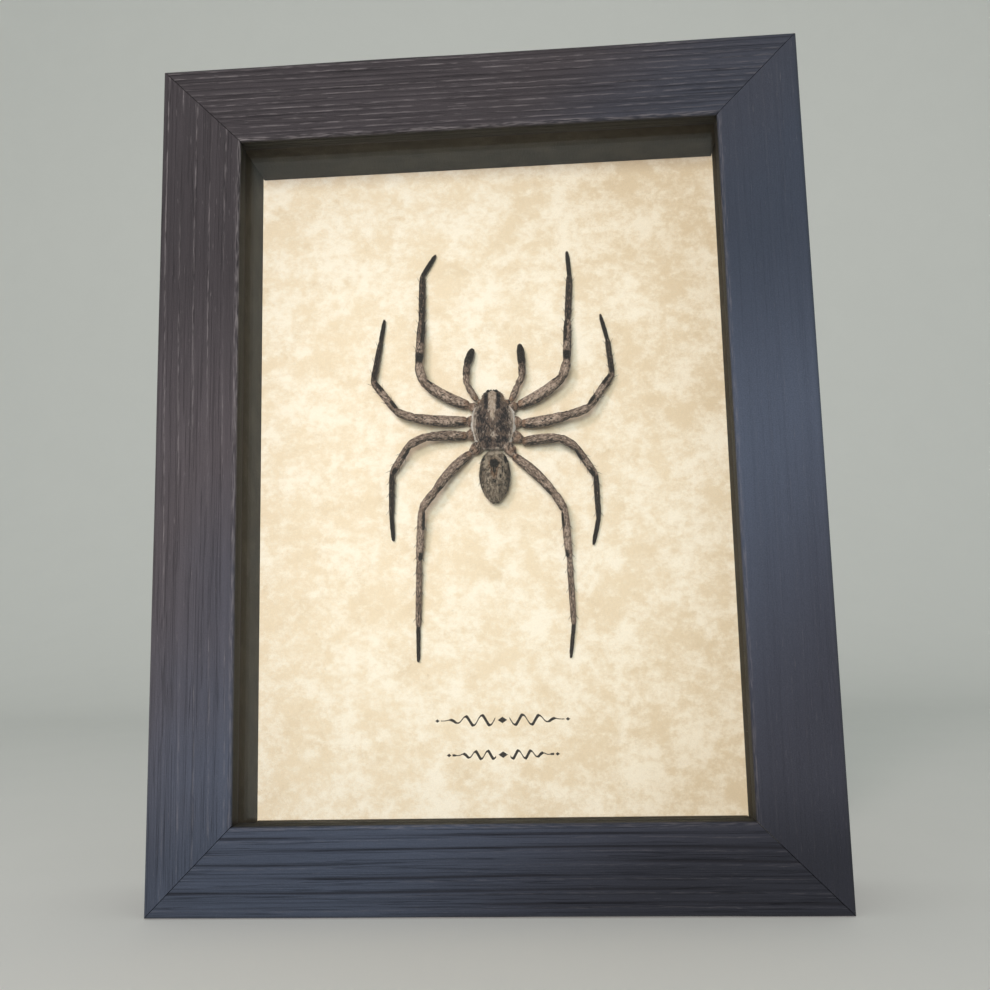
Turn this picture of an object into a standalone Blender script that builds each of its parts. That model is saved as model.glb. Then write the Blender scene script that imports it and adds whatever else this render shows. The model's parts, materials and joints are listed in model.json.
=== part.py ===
# Framed wolf spider specimen: a deep box frame that stands on its bottom rail, with its front towards -Y.
# The spider lies spread on a card behind glass.
# Lengths below are in millimetres, and MM turns them into metres.

import math

import bmesh
import bpy
from mathutils import Matrix, Vector

MM = 0.001
GAP = 0.3  # clearance kept between pieces that touch
WELD = 0.005

# Frame
FRAME_WIDTH = 165.1
FRAME_HEIGHT = 214.4
RAIL_DEPTH = 38.1
RAIL_FACE = 21.0  # moulding seen from the front, outer edge to sight edge
RAIL_WALL = 14.7  # wood behind the rebate
LIP = 5.0  # wood in front of the glass
OUTER_ARRIS = 1.2
SIGHT_ARRIS = 0.8
ARRIS_STEPS = 3

# What the rebate holds, front to back
GLASS = 2.0
CARD_DEPTH = 32.1  # front face of the frame to the face of the card
CARD = 1.2
BACKING = 2.6
SIDE_SPACER = 3.0
END_SPACER = 2.1

# Hardware on the back
TAB_LENGTH = 15.0
TAB_WIDTH = 9.0
TAB_THICKNESS = 0.6
TAB_HEIGHTS = {"upper": 0.74, "lower": 0.26}  # places of the side tabs, as parts of the frame's height
HANGER_LENGTH = 44.0
HANGER_WIDTH = 8.0
HANGER_SHEET = 0.7
HANGER_RISE = 1.0  # how far the toothed middle stands off its flat ends
HANGER_MIDDLE = 28.0
HANGER_STEP = 2.5
HANGER_TEETH = 11
TOOTH_DEPTH = 1.6
HANGER_DROP = 7.4  # top of the frame to the middle of the hanger
NAIL_INSET = 4.2
NAIL_HEAD = 1.9
NAIL_DOME = 0.7
NAIL_SIDES = 16

TOTAL_DEPTH = RAIL_DEPTH + GAP + HANGER_SHEET + HANGER_RISE
FRONT_Y = -TOTAL_DEPTH / 2
BACK_Y = FRONT_Y + RAIL_DEPTH
CARD_Y = FRONT_Y + CARD_DEPTH

# Spider. On its own plan +X is to its right, +Y towards its head and +Z off the card.
# Zero is the middle of the carapace.
SPIDER_X = 1.1
SPIDER_UP = 14.3  # above the middle of the frame

# Each station is (place from front to rear, half width, top above the card, underside above the card).
# A form's mesh is given as (faces around, faces along).
BODY_MESH = (24, 16)
JAW_MESH = (10, 8)
COXA_MESH = (10, 7)
SMALL_BALL = (8, 6)
CARAPACE_FRONT = 9.6
CARAPACE_LENGTH = 16.4
CARAPACE_BLUNT = 0.50  # under 1 fills out the round ends
CARAPACE_EDGE = 3.1  # height of the widest line above the card
CARAPACE = [
    (0.00, 4.2, 6.6, 2.9),
    (0.12, 3.8, 7.0, 2.9),
    (0.19, 3.8, 7.2, 2.6),
    (0.30, 5.5, 7.2, 0.8),
    (0.43, 6.1, 7.1, 0.6),
    (0.60, 6.3, 6.8, 0.6),
    (0.77, 6.3, 6.1, 0.8),
    (0.90, 5.9, 5.2, 1.3),
    (1.00, 5.2, 4.5, 1.8),
]
ABDOMEN_X = 0.1
ABDOMEN_FRONT = -7.2
ABDOMEN_LENGTH = 14.2
ABDOMEN_BLUNT = 0.66
ABDOMEN_EDGE = 3.5
ABDOMEN = [
    (0.00, 4.1, 6.0, 1.2),
    (0.12, 4.3, 6.6, 0.7),
    (0.35, 4.3, 7.0, 0.5),
    (0.60, 4.2, 6.8, 0.6),
    (0.80, 3.8, 6.3, 0.9),
    (1.00, 2.9, 5.6, 1.4),
]
WAIST_WIDTH = 1.1
WAIST_LENGTH = 0.9
WAIST_REACH = 0.1  # how far the waist stands out behind the carapace
SPINNERET_RADIUS = 0.55
SPINNERET_LENGTH = 1.7
SPINNERET_HEIGHT = 2.4

# Eyes: (sideways, along the head, radius), the same on both sides
# Each is sunk into the head by a part of its radius.
EYES = [(1.05, 9.10, 0.52), (1.75, 7.75, 0.46), (0.38, 9.44, 0.26), (0.98, 9.40, 0.24)]
EYE_SINK = 0.35

COXA_RADII = {1: 1.50, 2: 1.85, 3: 1.85, 4: 1.80}
COXA_BLUNT = 0.50
STUB_FULL = 0.6  # part of a coxa's length that keeps its full size
STUB_TAPER = 0.65  # size at its outer end
COXA_HEIGHT = 2.6
COXA_HUBS = {1: (3.4, 4.4), 2: (3.8, 1.2), 3: (3.8, -2.0), 4: (3.0, -4.6)}
PALP_COXA_HUB = (2.0, 5.4)
PALP_COXA_RADIUS = 1.0

# Segments of a leg are femur, patella, tibia, metatarsus and tarsus.
# A bearing is clockwise from straight ahead.
# Each leg has its start on the plan, the length and bearing of each segment, and how far its femur curls.
LEGS = {
    "leg_left_1": ((-7.4, 6.2), [(13.3, -61), (5.2, -14), (12.9, 3), (13.5, 1), (7.0, 31)], 26),
    "leg_right_1": ((7.7, 5.7), [(13.4, 60), (4.7, 17), (12.2, 3), (13.1, 4), (7.1, -4)], -26),
    "leg_left_2": ((-8.0, 1.6), [(13.8, -86), (5.1, -68), (11.5, -37), (11.9, 10), (6.2, 9)], 14),
    "leg_right_2": ((8.5, 0.3), [(12.3, 83), (5.8, 71), (11.7, 35), (10.0, -5), (7.4, -13)], -14),
    "leg_left_3": ((-8.0, -2.6), [(10.4, -92), (5.3, -114), (8.8, -145), (11.5, -178), (6.6, -183)], -10),
    "leg_right_3": ((8.4, -4.7), [(9.7, 89), (5.1, 122), (8.9, 146), (11.5, 178), (7.0, 193)], 10),
    "leg_left_4": ((-6.9, -7.8), [(14.0, -138), (5.9, -142), (13.6, -175), (17.9, -178), (9.1, -179)], -20),
    "leg_right_4": ((5.8, -9.0), [(14.8, 136), (5.3, 150), (12.4, 176), (17.8, 178), (8.7, 187)], 16),
}
# Radius of each segment, hair included, and the height of the leg's middle line at its start and each joint
LEG_RADII = {
    1: [1.60, 1.30, 1.14, 0.94, 0.64],
    2: [1.55, 1.20, 1.06, 0.78, 0.58],
    3: [1.42, 1.18, 1.02, 0.78, 0.62],
    4: [1.40, 1.15, 1.06, 0.82, 0.54],
}
LEG_HEIGHTS = [2.6, 5.0, 4.6, 2.4, 1.25, 0.85]
JOINT_BEND = 14  # the patella's own curl
PALPS = {
    "palp_left": ((-4.6, 7.5), [(4.8, -30), (2.3, -6), (3.6, 4), (4.4, 18)], 8),
    "palp_right": ((5.1, 7.0), [(4.5, 24), (2.5, 30), (3.5, 1), (5.7, -5)], -8),
}
PALP_RADII = [0.95, 0.92, 1.02, 1.10]
PALP_HEIGHTS = [2.9, 3.5, 3.5, 2.9, 1.7]

# How thick a segment is along its length, as parts of its radius
FEMUR_SHAPE = [(0.10, 0.90), (0.35, 1.00), (0.70, 0.92), (0.92, 0.86), (1.00, 0.76)]
SHANK_SHAPE = [(0.15, 1.00), (0.50, 0.98), (0.88, 0.96), (1.00, 0.84)]
FOOT_SHAPE = [(0.20, 1.00), (0.60, 0.98), (0.90, 0.88), (1.00, 0.50)]
START_SHAPE = 0.78
TUBE_ROUNDNESS = 2

# Spines: segment index, places along it, length; one on each side of the leg
SPINES = [(2, (0.38, 0.80), 1.1), (3, (0.22, 0.60), 1.0)]
SPINE_RADIUS = 0.17
SPINE_SIDES = 5
SPINE_LEAN = 34  # degrees from the leg's line
SMOOTH_BODY = 50  # degrees past which an edge stays sharp
SMOOTH_LIMB = 60

CHELICERA_X = 1.35
CHELICERA_FRONT = 9.6
CHELICERA_LENGTH = 3.6
CHELICERA_BLUNT = 0.6
CHELICERA_EDGE = 1.6
CHELICERA = [(0.0, 1.1, 2.5, 0.6), (0.4, 1.15, 2.4, 0.5), (1.0, 1.0, 2.0, 0.7)]

MATERIALS = {
    "stained_wood": ((0.018, 0.022, 0.030, 1), 0.60, 0.0),
    "clear_glass": ((0.92, 0.96, 0.95, 1), 0.02, 0.0),
    "dark_lining": ((0.060, 0.055, 0.045, 1), 0.80, 0.0),
    "parchment_card": ((0.86, 0.74, 0.55, 1), 0.85, 0.0),
    "hardboard": ((0.22, 0.13, 0.07, 1), 0.80, 0.0),
    "zinc_plate": ((0.55, 0.56, 0.58, 1), 0.40, 1.0),
    "brass_plate": ((0.60, 0.43, 0.18, 1), 0.35, 1.0),
    "carapace": ((0.060, 0.040, 0.030, 1), 0.60, 0.0),
    "abdomen": ((0.110, 0.095, 0.075, 1), 0.80, 0.0),
    "leg": ((0.130, 0.100, 0.080, 1), 0.70, 0.0),
    "jaw": ((0.030, 0.012, 0.008, 1), 0.30, 0.0),
}


def clear_scene():
    for item in list(bpy.data.objects):
        bpy.data.objects.remove(item, do_unlink=True)
    for group in list(bpy.data.collections):
        bpy.data.collections.remove(group)


def make_material(name):
    colour, roughness, metallic = MATERIALS[name]
    material = bpy.data.materials.new(name)
    material.use_nodes = True
    shader = material.node_tree.nodes["Principled BSDF"]
    shader.inputs["Base Color"].default_value = colour
    shader.inputs["Roughness"].default_value = roughness
    shader.inputs["Metallic"].default_value = metallic
    material.diffuse_color = colour
    return material


def make_collection(name, parent):
    group = bpy.data.collections.new(name)
    parent.children.link(group)
    return group


def add_part(name, mesh, material_name, parent=None, smooth=None):
    part = bpy.data.objects.new(name, mesh)
    parts.objects.link(part)
    mesh.materials.clear()
    mesh.materials.append(materials[material_name])
    part.parent = parent
    if smooth is not None:
        mesh.shade_smooth()
        mesh.set_sharp_from_angle(angle=math.radians(smooth))
    return part


def mesh_from(bm, name):
    mesh = bpy.data.meshes.new(name)
    bm.to_mesh(mesh)
    bm.free()
    return mesh


def mesh_from_curve(curve, name):
    # The curve's evaluated shape as one closed mesh, with its loose caps welded on
    holder = bpy.data.objects.new(name, curve)
    bpy.context.scene.collection.objects.link(holder)
    bpy.context.view_layer.update()
    shape = holder.evaluated_get(bpy.context.evaluated_depsgraph_get())
    mesh = bpy.data.meshes.new_from_object(shape)
    mesh.name = name
    bpy.data.objects.remove(holder, do_unlink=True)
    bpy.data.curves.remove(curve)
    bm = bmesh.new()
    bm.from_mesh(mesh)
    bmesh.ops.remove_doubles(bm, verts=bm.verts, dist=WELD * MM)
    bmesh.ops.recalc_face_normals(bm, faces=bm.faces)
    bm.to_mesh(mesh)
    bm.free()
    return mesh


def extruded_outline(name, outline, length):
    # A closed outline, in millimetres, extruded to both sides of its own plane
    curve = bpy.data.curves.new(name, "CURVE")
    curve.dimensions = "2D"
    curve.fill_mode = "BOTH"
    curve.extrude = length * MM / 2
    spline = curve.splines.new("POLY")
    spline.points.add(len(outline) - 1)
    for point, (x, y) in zip(spline.points, outline):
        point.co = (x * MM, y * MM, 0, 1)
    spline.use_cyclic_u = True
    return mesh_from_curve(curve, name)


def box(name, low, high, material_name):
    bm = bmesh.new()
    bmesh.ops.create_cube(bm, size=1)
    size = Vector(high) - Vector(low)
    bmesh.ops.scale(bm, vec=size * MM, verts=bm.verts)
    part = add_part(name, mesh_from(bm, name), material_name)
    part.location = (Vector(high) + Vector(low)) * MM / 2


def arc(centre, radius, start, end):
    turns = [math.radians(start + (end - start) * step / ARRIS_STEPS) for step in range(ARRIS_STEPS + 1)]
    return [(centre[0] + radius * math.cos(turn), centre[1] + radius * math.sin(turn)) for turn in turns]


def rail(name, corner_distance, outer_middle, inward):
    # The L-shaped moulding: X runs from the outer edge inwards and Y from the front face back
    outline = [(0, RAIL_DEPTH)]
    outline += arc((OUTER_ARRIS, OUTER_ARRIS), OUTER_ARRIS, 180, 270)
    outline += arc((RAIL_FACE - SIGHT_ARRIS, SIGHT_ARRIS), SIGHT_ARRIS, 270, 360)
    outline += [(RAIL_FACE, LIP), (RAIL_WALL, LIP), (RAIL_WALL, RAIL_DEPTH)]
    mesh = extruded_outline(name, outline, 2 * corner_distance)
    inward = Vector(inward)
    backward = Vector((0, 1, 0))
    along = inward.cross(backward)
    turn = Matrix((inward, backward, along)).transposed()
    part = add_part(name, mesh, "stained_wood")
    part.matrix_world = Matrix.Translation(Vector(outer_middle) * MM) @ turn.to_4x4()
    bm = bmesh.new()
    bm.from_mesh(mesh)
    for end in (-1, 1):
        outward = Vector((1, 0, end)).normalized()  # the mitre runs at 45 degrees
        corner = Vector((0, 0, end * corner_distance)) * MM - outward * GAP * MM / 2
        geometry = bm.verts[:] + bm.edges[:] + bm.faces[:]
        bmesh.ops.bisect_plane(bm, geom=geometry, plane_co=corner, plane_no=outward, clear_outer=True)
        bmesh.ops.holes_fill(bm, edges=[edge for edge in bm.edges if edge.is_boundary])
    bmesh.ops.recalc_face_normals(bm, faces=bm.faces)
    bm.to_mesh(mesh)
    bm.free()


def build_rails():
    half_width = FRAME_WIDTH / 2
    half_height = FRAME_HEIGHT / 2
    rail("rail_bottom", half_width, (0, FRONT_Y, 0), (0, 0, 1))
    rail("rail_top", half_width, (0, FRONT_Y, FRAME_HEIGHT), (0, 0, -1))
    rail("rail_left", half_height, (-half_width, FRONT_Y, half_height), (1, 0, 0))
    rail("rail_right", half_height, (half_width, FRONT_Y, half_height), (-1, 0, 0))


def build_glazing():
    # Glass, spacers, card and back fill the rebate one behind another
    half = FRAME_WIDTH / 2 - RAIL_WALL - GAP
    low = RAIL_WALL + GAP
    high = FRAME_HEIGHT - low
    glass_y = FRONT_Y + LIP + GAP
    box("glass", (-half, glass_y, low), (half, glass_y + GLASS, high), "clear_glass")
    front = glass_y + GLASS + GAP
    back = CARD_Y - GAP
    inner = half - SIDE_SPACER - GAP
    box("spacer_left", (-half, front, low), (SIDE_SPACER - half, back, high), "dark_lining")
    box("spacer_right", (half - SIDE_SPACER, front, low), (half, back, high), "dark_lining")
    box("spacer_bottom", (-inner, front, low), (inner, back, low + END_SPACER), "dark_lining")
    box("spacer_top", (-inner, front, high - END_SPACER), (inner, back, high), "dark_lining")
    card_back = CARD_Y + CARD
    box("mount_card", (-half, CARD_Y, low), (half, card_back, high), "parchment_card")
    board = card_back + GAP
    box("backing_board", (-half, board, low), (half, board + BACKING, high), "hardboard")
    return board + BACKING + GAP


def retaining_tab(name, middle, across, surface_y):
    # A flat tab with a pointed end, lying on the back board with its square end against the rail
    half = TAB_WIDTH / 2
    outline = [(0, -half), (TAB_LENGTH - half, -half), (TAB_LENGTH, 0), (TAB_LENGTH - half, half), (0, half)]
    mesh = extruded_outline(name, outline, TAB_THICKNESS)
    part = add_part(name, mesh, "zinc_plate")
    inward = Vector(across)
    backward = Vector((0, 1, 0))
    turn = Matrix((inward, backward.cross(inward), backward)).transposed()
    place = Vector((middle[0], surface_y + TAB_THICKNESS / 2, middle[1])) * MM
    part.matrix_world = Matrix.Translation(place) @ turn.to_4x4()


def build_tabs(surface_y):
    wall = FRAME_WIDTH / 2 - RAIL_WALL - GAP
    for level, part_of_height in TAB_HEIGHTS.items():
        up = FRAME_HEIGHT * part_of_height
        retaining_tab("retaining_tab_left_" + level, (-wall, up), (1, 0, 0), surface_y)
        retaining_tab("retaining_tab_right_" + level, (wall, up), (-1, 0, 0), surface_y)
    ledge = RAIL_WALL + GAP
    retaining_tab("retaining_tab_bottom", (0, ledge), (0, 0, 1), surface_y)
    retaining_tab("retaining_tab_top", (0, FRAME_HEIGHT - ledge), (0, 0, -1), surface_y)


def build_hanger():
    # A strip with teeth on its lower edge, whose middle stands off its two flat ends
    half = HANGER_LENGTH / 2
    middle = HANGER_MIDDLE / 2
    pitch = HANGER_MIDDLE / HANGER_TEETH
    top = HANGER_WIDTH / 2
    outline = [(half, -top), (half, top), (-half, top), (-half, -top), (-middle, -top)]
    for tooth in range(HANGER_TEETH):
        left = -middle + tooth * pitch
        outline += [(left + pitch / 2, TOOTH_DEPTH - top), (left + pitch, -top)]
    mesh = extruded_outline("hanger", outline, HANGER_SHEET)
    bm = bmesh.new()
    bm.from_mesh(mesh)
    for edge in (-middle - HANGER_STEP, -middle, middle, middle + HANGER_STEP):
        geometry = bm.verts[:] + bm.edges[:] + bm.faces[:]
        bmesh.ops.bisect_plane(bm, geom=geometry, plane_co=(edge * MM, 0, 0), plane_no=(1, 0, 0))
    raised = [vert for vert in bm.verts if abs(vert.co.x) < (middle + HANGER_STEP / 2) * MM]
    bmesh.ops.translate(bm, verts=raised, vec=(0, 0, HANGER_RISE * MM))
    bm.to_mesh(mesh)
    bm.free()
    up = FRAME_HEIGHT - HANGER_DROP
    sheet_y = BACK_Y + GAP + HANGER_SHEET / 2
    part = add_part("hanger", mesh, "brass_plate")
    part.location = Vector((0, sheet_y, up)) * MM
    part.rotation_euler = (math.radians(90), 0, math.radians(180))
    for side, sign in (("left", -1), ("right", 1)):
        bm = bmesh.new()
        bmesh.ops.create_cone(bm, cap_ends=True, segments=NAIL_SIDES, radius1=NAIL_HEAD * MM,
                              radius2=NAIL_HEAD * MM / 2, depth=NAIL_DOME * MM)
        name = "hanger_nail_" + side
        nail = add_part(name, mesh_from(bm, name), "brass_plate", smooth=SMOOTH_BODY)
        nail_y = BACK_Y + GAP + HANGER_SHEET + GAP + NAIL_DOME / 2
        nail.location = Vector((sign * (half - NAIL_INSET), nail_y, up)) * MM
        nail.rotation_euler = (math.radians(-90), 0, 0)


def between(stations, place):
    # Values at a place, read between the two stations around it
    for first, second in zip(stations, stations[1:]):
        if place <= second[0]:
            part = (place - first[0]) / (second[0] - first[0])
            return [a + (b - a) * part for a, b in zip(first[1:], second[1:])]
    return list(stations[-1][1:])


def grown_form(stations, front, length, blunt, edge, faces):
    # A rounded body drawn out along -Y, with its own width, top and underside at every station
    bm = bmesh.new()
    bmesh.ops.create_uvsphere(bm, u_segments=faces[0], v_segments=faces[1], radius=1)
    for vert in bm.verts:
        round_part = vert.co.xy.length
        place = (1 - vert.co.z) / 2
        half_width, top, underside = between(stations, place)
        swell = round_part ** blunt
        if round_part > 0:
            side, rise = vert.co.x / round_part, -vert.co.y / round_part
        else:
            side, rise = 0, 0
        reach = top - edge if rise > 0 else edge - underside
        spot = (side * half_width * swell, front - place * length, edge + rise * reach * swell)
        vert.co = Vector(spot) * MM
    return bm


def head_height(across, along):
    # Height of the carapace's top over a place on the plan
    place = (CARAPACE_FRONT - along) / CARAPACE_LENGTH
    half_width, top, _ = between(CARAPACE, place)
    swell = math.sqrt(1 - (1 - 2 * place) ** 2) ** CARAPACE_BLUNT
    side = min(1, across / (half_width * swell))
    return CARAPACE_EDGE + math.sqrt(1 - side * side) * (top - CARAPACE_EDGE) * swell


def ball(centre, radii):
    bm = bmesh.new()
    bmesh.ops.create_uvsphere(bm, u_segments=SMALL_BALL[0], v_segments=SMALL_BALL[1], radius=1)
    bmesh.ops.scale(bm, vec=Vector(radii) * MM, verts=bm.verts)
    bmesh.ops.translate(bm, verts=bm.verts, vec=Vector(centre) * MM)
    return bm


def stub(start, end, radius, height):
    # A blunt short limb joint lying between two places of the plan
    start, end = Vector(start), Vector(end)
    length = (end - start).length
    tip = radius * STUB_TAPER
    full = (radius, height + radius, height - radius)
    stations = [(0.0, *full), (STUB_FULL, *full), (1.0, tip, height + tip, height - tip)]
    bm = grown_form(stations, 0, length, COXA_BLUNT, height, COXA_MESH)
    heading = (end - start).normalized()
    spin = Matrix.Rotation(math.atan2(heading.x, -heading.y), 3, "Z")
    bmesh.ops.rotate(bm, verts=bm.verts, matrix=spin)
    bmesh.ops.translate(bm, verts=bm.verts, vec=Vector((start.x, start.y, 0)) * MM)
    return bm


def join(part, pieces):
    # Adds the pieces to the part in one union
    group = make_collection("added_to_" + part.name, cutters)
    for number, bm in enumerate(pieces):
        name = part.name + "_addition_" + str(number + 1)
        addition = bpy.data.objects.new(name, mesh_from(bm, name))
        addition.parent = part.parent
        addition.hide_render = True
        addition.display_type = "WIRE"
        group.objects.link(addition)
    union = part.modifiers.new("Union", "BOOLEAN")
    union.operation = "UNION"
    union.operand_type = "COLLECTION"
    union.collection = group
    union.solver = "EXACT"


def mirrored(point, side):
    return (point[0] * side, point[1])


def limb_start(start, hub):
    # Where a coxa ends: just short of the limb that it carries
    start, hub = Vector(start), Vector(hub)
    return start - (start - hub).normalized() * GAP


def build_cephalothorax(spider):
    bm = grown_form(CARAPACE, CARAPACE_FRONT, CARAPACE_LENGTH, CARAPACE_BLUNT, CARAPACE_EDGE, BODY_MESH)
    part = add_part("cephalothorax", mesh_from(bm, "cephalothorax"), "carapace", spider, SMOOTH_BODY)
    pieces = []
    for name, (start, _, _) in LEGS.items():
        side = -1 if start[0] < 0 else 1
        pair = int(name[-1])
        hub = mirrored(COXA_HUBS[pair], side)
        pieces.append(stub(hub, limb_start(start, hub), COXA_RADII[pair], COXA_HEIGHT))
    for start, _, _ in PALPS.values():
        hub = mirrored(PALP_COXA_HUB, -1 if start[0] < 0 else 1)
        pieces.append(stub(hub, limb_start(start, hub), PALP_COXA_RADIUS, PALP_HEIGHTS[0]))
    for across, along, radius in EYES:
        height = head_height(across, along) - EYE_SINK * radius
        for side in (-1, 1):
            pieces.append(ball((side * across, along, height), (radius,) * 3))
    waist_y = CARAPACE_FRONT - CARAPACE_LENGTH + WAIST_LENGTH - WAIST_REACH
    pieces.append(ball((0, waist_y, CARAPACE_EDGE), (WAIST_WIDTH, WAIST_LENGTH, WAIST_WIDTH)))
    join(part, pieces)


def build_abdomen(spider):
    bm = grown_form(ABDOMEN, ABDOMEN_FRONT, ABDOMEN_LENGTH, ABDOMEN_BLUNT, ABDOMEN_EDGE, BODY_MESH)
    bmesh.ops.translate(bm, verts=bm.verts, vec=(ABDOMEN_X * MM, 0, 0))
    part = add_part("abdomen", mesh_from(bm, "abdomen"), "abdomen", spider, SMOOTH_BODY)
    radius = SPINNERET_RADIUS
    rear = ABDOMEN_FRONT - ABDOMEN_LENGTH + SPINNERET_LENGTH / 2
    pieces = []
    for side in (-1, 1):
        centre = (ABDOMEN_X + side * radius, rear, SPINNERET_HEIGHT)
        pieces.append(ball(centre, (radius, SPINNERET_LENGTH / 2, radius)))
    join(part, pieces)


def build_chelicerae(spider):
    for side, sign in (("left", -1), ("right", 1)):
        name = "chelicera_" + side
        sizes = (CHELICERA_FRONT, CHELICERA_LENGTH, CHELICERA_BLUNT, CHELICERA_EDGE)
        bm = grown_form(CHELICERA, *sizes, JAW_MESH)
        bmesh.ops.translate(bm, verts=bm.verts, vec=(sign * CHELICERA_X * MM, 0, 0))
        add_part(name, mesh_from(bm, name), "jaw", spider, SMOOTH_BODY)


def limb_line(start, spans, curl, radii, heights):
    # The points of a limb's middle line with a radius each, and each segment's own stretch of it
    place = Vector((start[0], start[1], heights[0]))
    line = [(place.copy(), radii[0] * START_SHAPE)]
    stretches = []
    for number, ((length, bearing), radius) in enumerate(zip(spans, radii)):
        shape = SHANK_SHAPE
        bend = 0
        if number == 0:
            shape, bend = FEMUR_SHAPE, curl
        elif number == 1:
            bend = math.copysign(JOINT_BEND, curl)
        elif number == len(spans) - 1:
            shape = FOOT_SHAPE
        rise = heights[number + 1] - heights[number]
        base = place.copy()
        done = 0
        for part, thickness in shape:
            middle = (done + part) / 2
            heading = math.radians(bearing + bend * (middle - 0.5))
            step = (part - done) * length
            place = place + Vector((step * math.sin(heading), step * math.cos(heading), (part - done) * rise))
            line.append((place.copy(), radius * thickness))
            done = part
        stretches.append((base, place.copy(), radius))
    return line, stretches


def limb_mesh(name, line):
    curve = bpy.data.curves.new(name, "CURVE")
    curve.dimensions = "3D"
    curve.bevel_depth = MM
    curve.bevel_resolution = TUBE_ROUNDNESS
    curve.use_fill_caps = True
    spline = curve.splines.new("POLY")
    spline.points.add(len(line) - 1)
    for point, (place, radius) in zip(spline.points, line):
        point.co = (place.x * MM, place.y * MM, place.z * MM, 1)
        point.radius = radius
    return mesh_from_curve(curve, name)


def spine(base, heading, length):
    bm = bmesh.new()
    bmesh.ops.create_cone(bm, cap_ends=True, segments=SPINE_SIDES, radius1=SPINE_RADIUS * MM,
                          radius2=SPINE_RADIUS * MM / 4, depth=length * MM)
    bmesh.ops.translate(bm, verts=bm.verts, vec=(0, 0, length * MM / 2))
    bmesh.ops.rotate(bm, verts=bm.verts, matrix=heading.to_track_quat("Z", "Y").to_matrix())
    bmesh.ops.translate(bm, verts=bm.verts, vec=base * MM)
    return bm


def build_legs(spider):
    for name, (start, spans, curl) in LEGS.items():
        pair = int(name[-1])
        line, stretches = limb_line(start, spans, curl, LEG_RADII[pair], LEG_HEIGHTS)
        leg = add_part(name, limb_mesh(name, line), "leg", spider, SMOOTH_LIMB)
        pieces = []
        for segment, places, length in SPINES:
            low, high, radius = stretches[segment]
            along = (high - low).normalized()
            across = along.cross(Vector((0, 0, 1))).normalized()
            for place in places:
                for side in (-1, 1):
                    lean = math.radians(SPINE_LEAN)
                    heading = along * math.cos(lean) + across * side * math.sin(lean)
                    base = low.lerp(high, place) + across * side * radius / 2
                    pieces.append(spine(base, heading, length + radius / 2))
        join(leg, pieces)


def build_palps(spider):
    for name, (start, spans, curl) in PALPS.items():
        line, _ = limb_line(start, spans, curl, PALP_RADII, PALP_HEIGHTS)
        add_part(name, limb_mesh(name, line), "leg", spider, SMOOTH_LIMB)


def build_spider():
    # The spider's plan lies on the card: its Y is the frame's up, and its Z comes out of the frame's front
    spider = bpy.data.objects.new("spider_place", None)
    parts.objects.link(spider)
    spider.location = Vector((SPIDER_X, CARD_Y, FRAME_HEIGHT / 2 + SPIDER_UP)) * MM
    spider.rotation_euler = (math.radians(90), 0, 0)
    build_cephalothorax(spider)
    build_abdomen(spider)
    build_chelicerae(spider)
    build_palps(spider)
    build_legs(spider)


clear_scene()
parts = make_collection("framed_wolf_spider_specimen", bpy.context.scene.collection)
cutters = make_collection("cutters", bpy.context.scene.collection)
materials = {name: make_material(name) for name in MATERIALS}
build_rails()
build_tabs(build_glazing())
build_hanger()
build_spider()
bpy.context.view_layer.update()
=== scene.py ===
import json
import math
import bmesh
import bpy
import numpy as np
from functools import reduce
from mathutils import Matrix, Vector, noise

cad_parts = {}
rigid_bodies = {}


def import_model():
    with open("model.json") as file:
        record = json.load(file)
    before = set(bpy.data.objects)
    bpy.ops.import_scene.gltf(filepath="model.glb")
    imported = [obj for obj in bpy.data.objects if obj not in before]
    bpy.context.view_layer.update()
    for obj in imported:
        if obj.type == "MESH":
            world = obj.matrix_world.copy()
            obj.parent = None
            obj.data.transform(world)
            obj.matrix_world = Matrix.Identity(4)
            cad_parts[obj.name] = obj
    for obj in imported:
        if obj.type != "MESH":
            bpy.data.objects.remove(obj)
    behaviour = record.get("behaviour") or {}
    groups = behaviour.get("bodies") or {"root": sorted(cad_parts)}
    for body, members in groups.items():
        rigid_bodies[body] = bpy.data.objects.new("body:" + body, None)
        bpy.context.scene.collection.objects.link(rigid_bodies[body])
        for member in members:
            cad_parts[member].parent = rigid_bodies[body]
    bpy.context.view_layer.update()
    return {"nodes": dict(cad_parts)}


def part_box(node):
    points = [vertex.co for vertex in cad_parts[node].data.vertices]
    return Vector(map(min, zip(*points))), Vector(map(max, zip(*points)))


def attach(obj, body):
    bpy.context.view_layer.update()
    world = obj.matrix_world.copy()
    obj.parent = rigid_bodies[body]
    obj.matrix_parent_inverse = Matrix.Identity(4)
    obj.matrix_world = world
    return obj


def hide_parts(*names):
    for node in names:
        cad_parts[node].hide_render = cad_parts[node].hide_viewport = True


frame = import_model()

mm = 0.001
railLow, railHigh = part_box("rail_bottom")
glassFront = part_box("glass")[0].y
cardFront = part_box("mount_card")[0].y
frameFront = railLow.y
frameBack = railHigh.y
frameWidth = railHigh.x - railLow.x
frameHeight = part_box("rail_top")[1].z
frameMiddle = frameHeight / 2


# Small helpers for modelling

def select(*pieces):  # these and nothing else, the first as the active one
    bpy.ops.object.select_all(action="DESELECT")
    for piece in pieces:
        piece.select_set(True)
        bpy.context.view_layer.objects.active = pieces[0]


def pick(piece, kind, test):  # selects the faces or edges that pass the test, and nothing else
    bpy.ops.mesh.select_all(action="DESELECT")
    bpy.ops.mesh.select_mode(type=kind)
    sheet = bmesh.from_edit_mesh(piece.data)
    for item in {"FACE": sheet.faces, "EDGE": sheet.edges}[kind]:
        item.select_set(bool(test(item)))
    sheet.select_flush_mode()
    bmesh.update_edit_mesh(piece.data)


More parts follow.
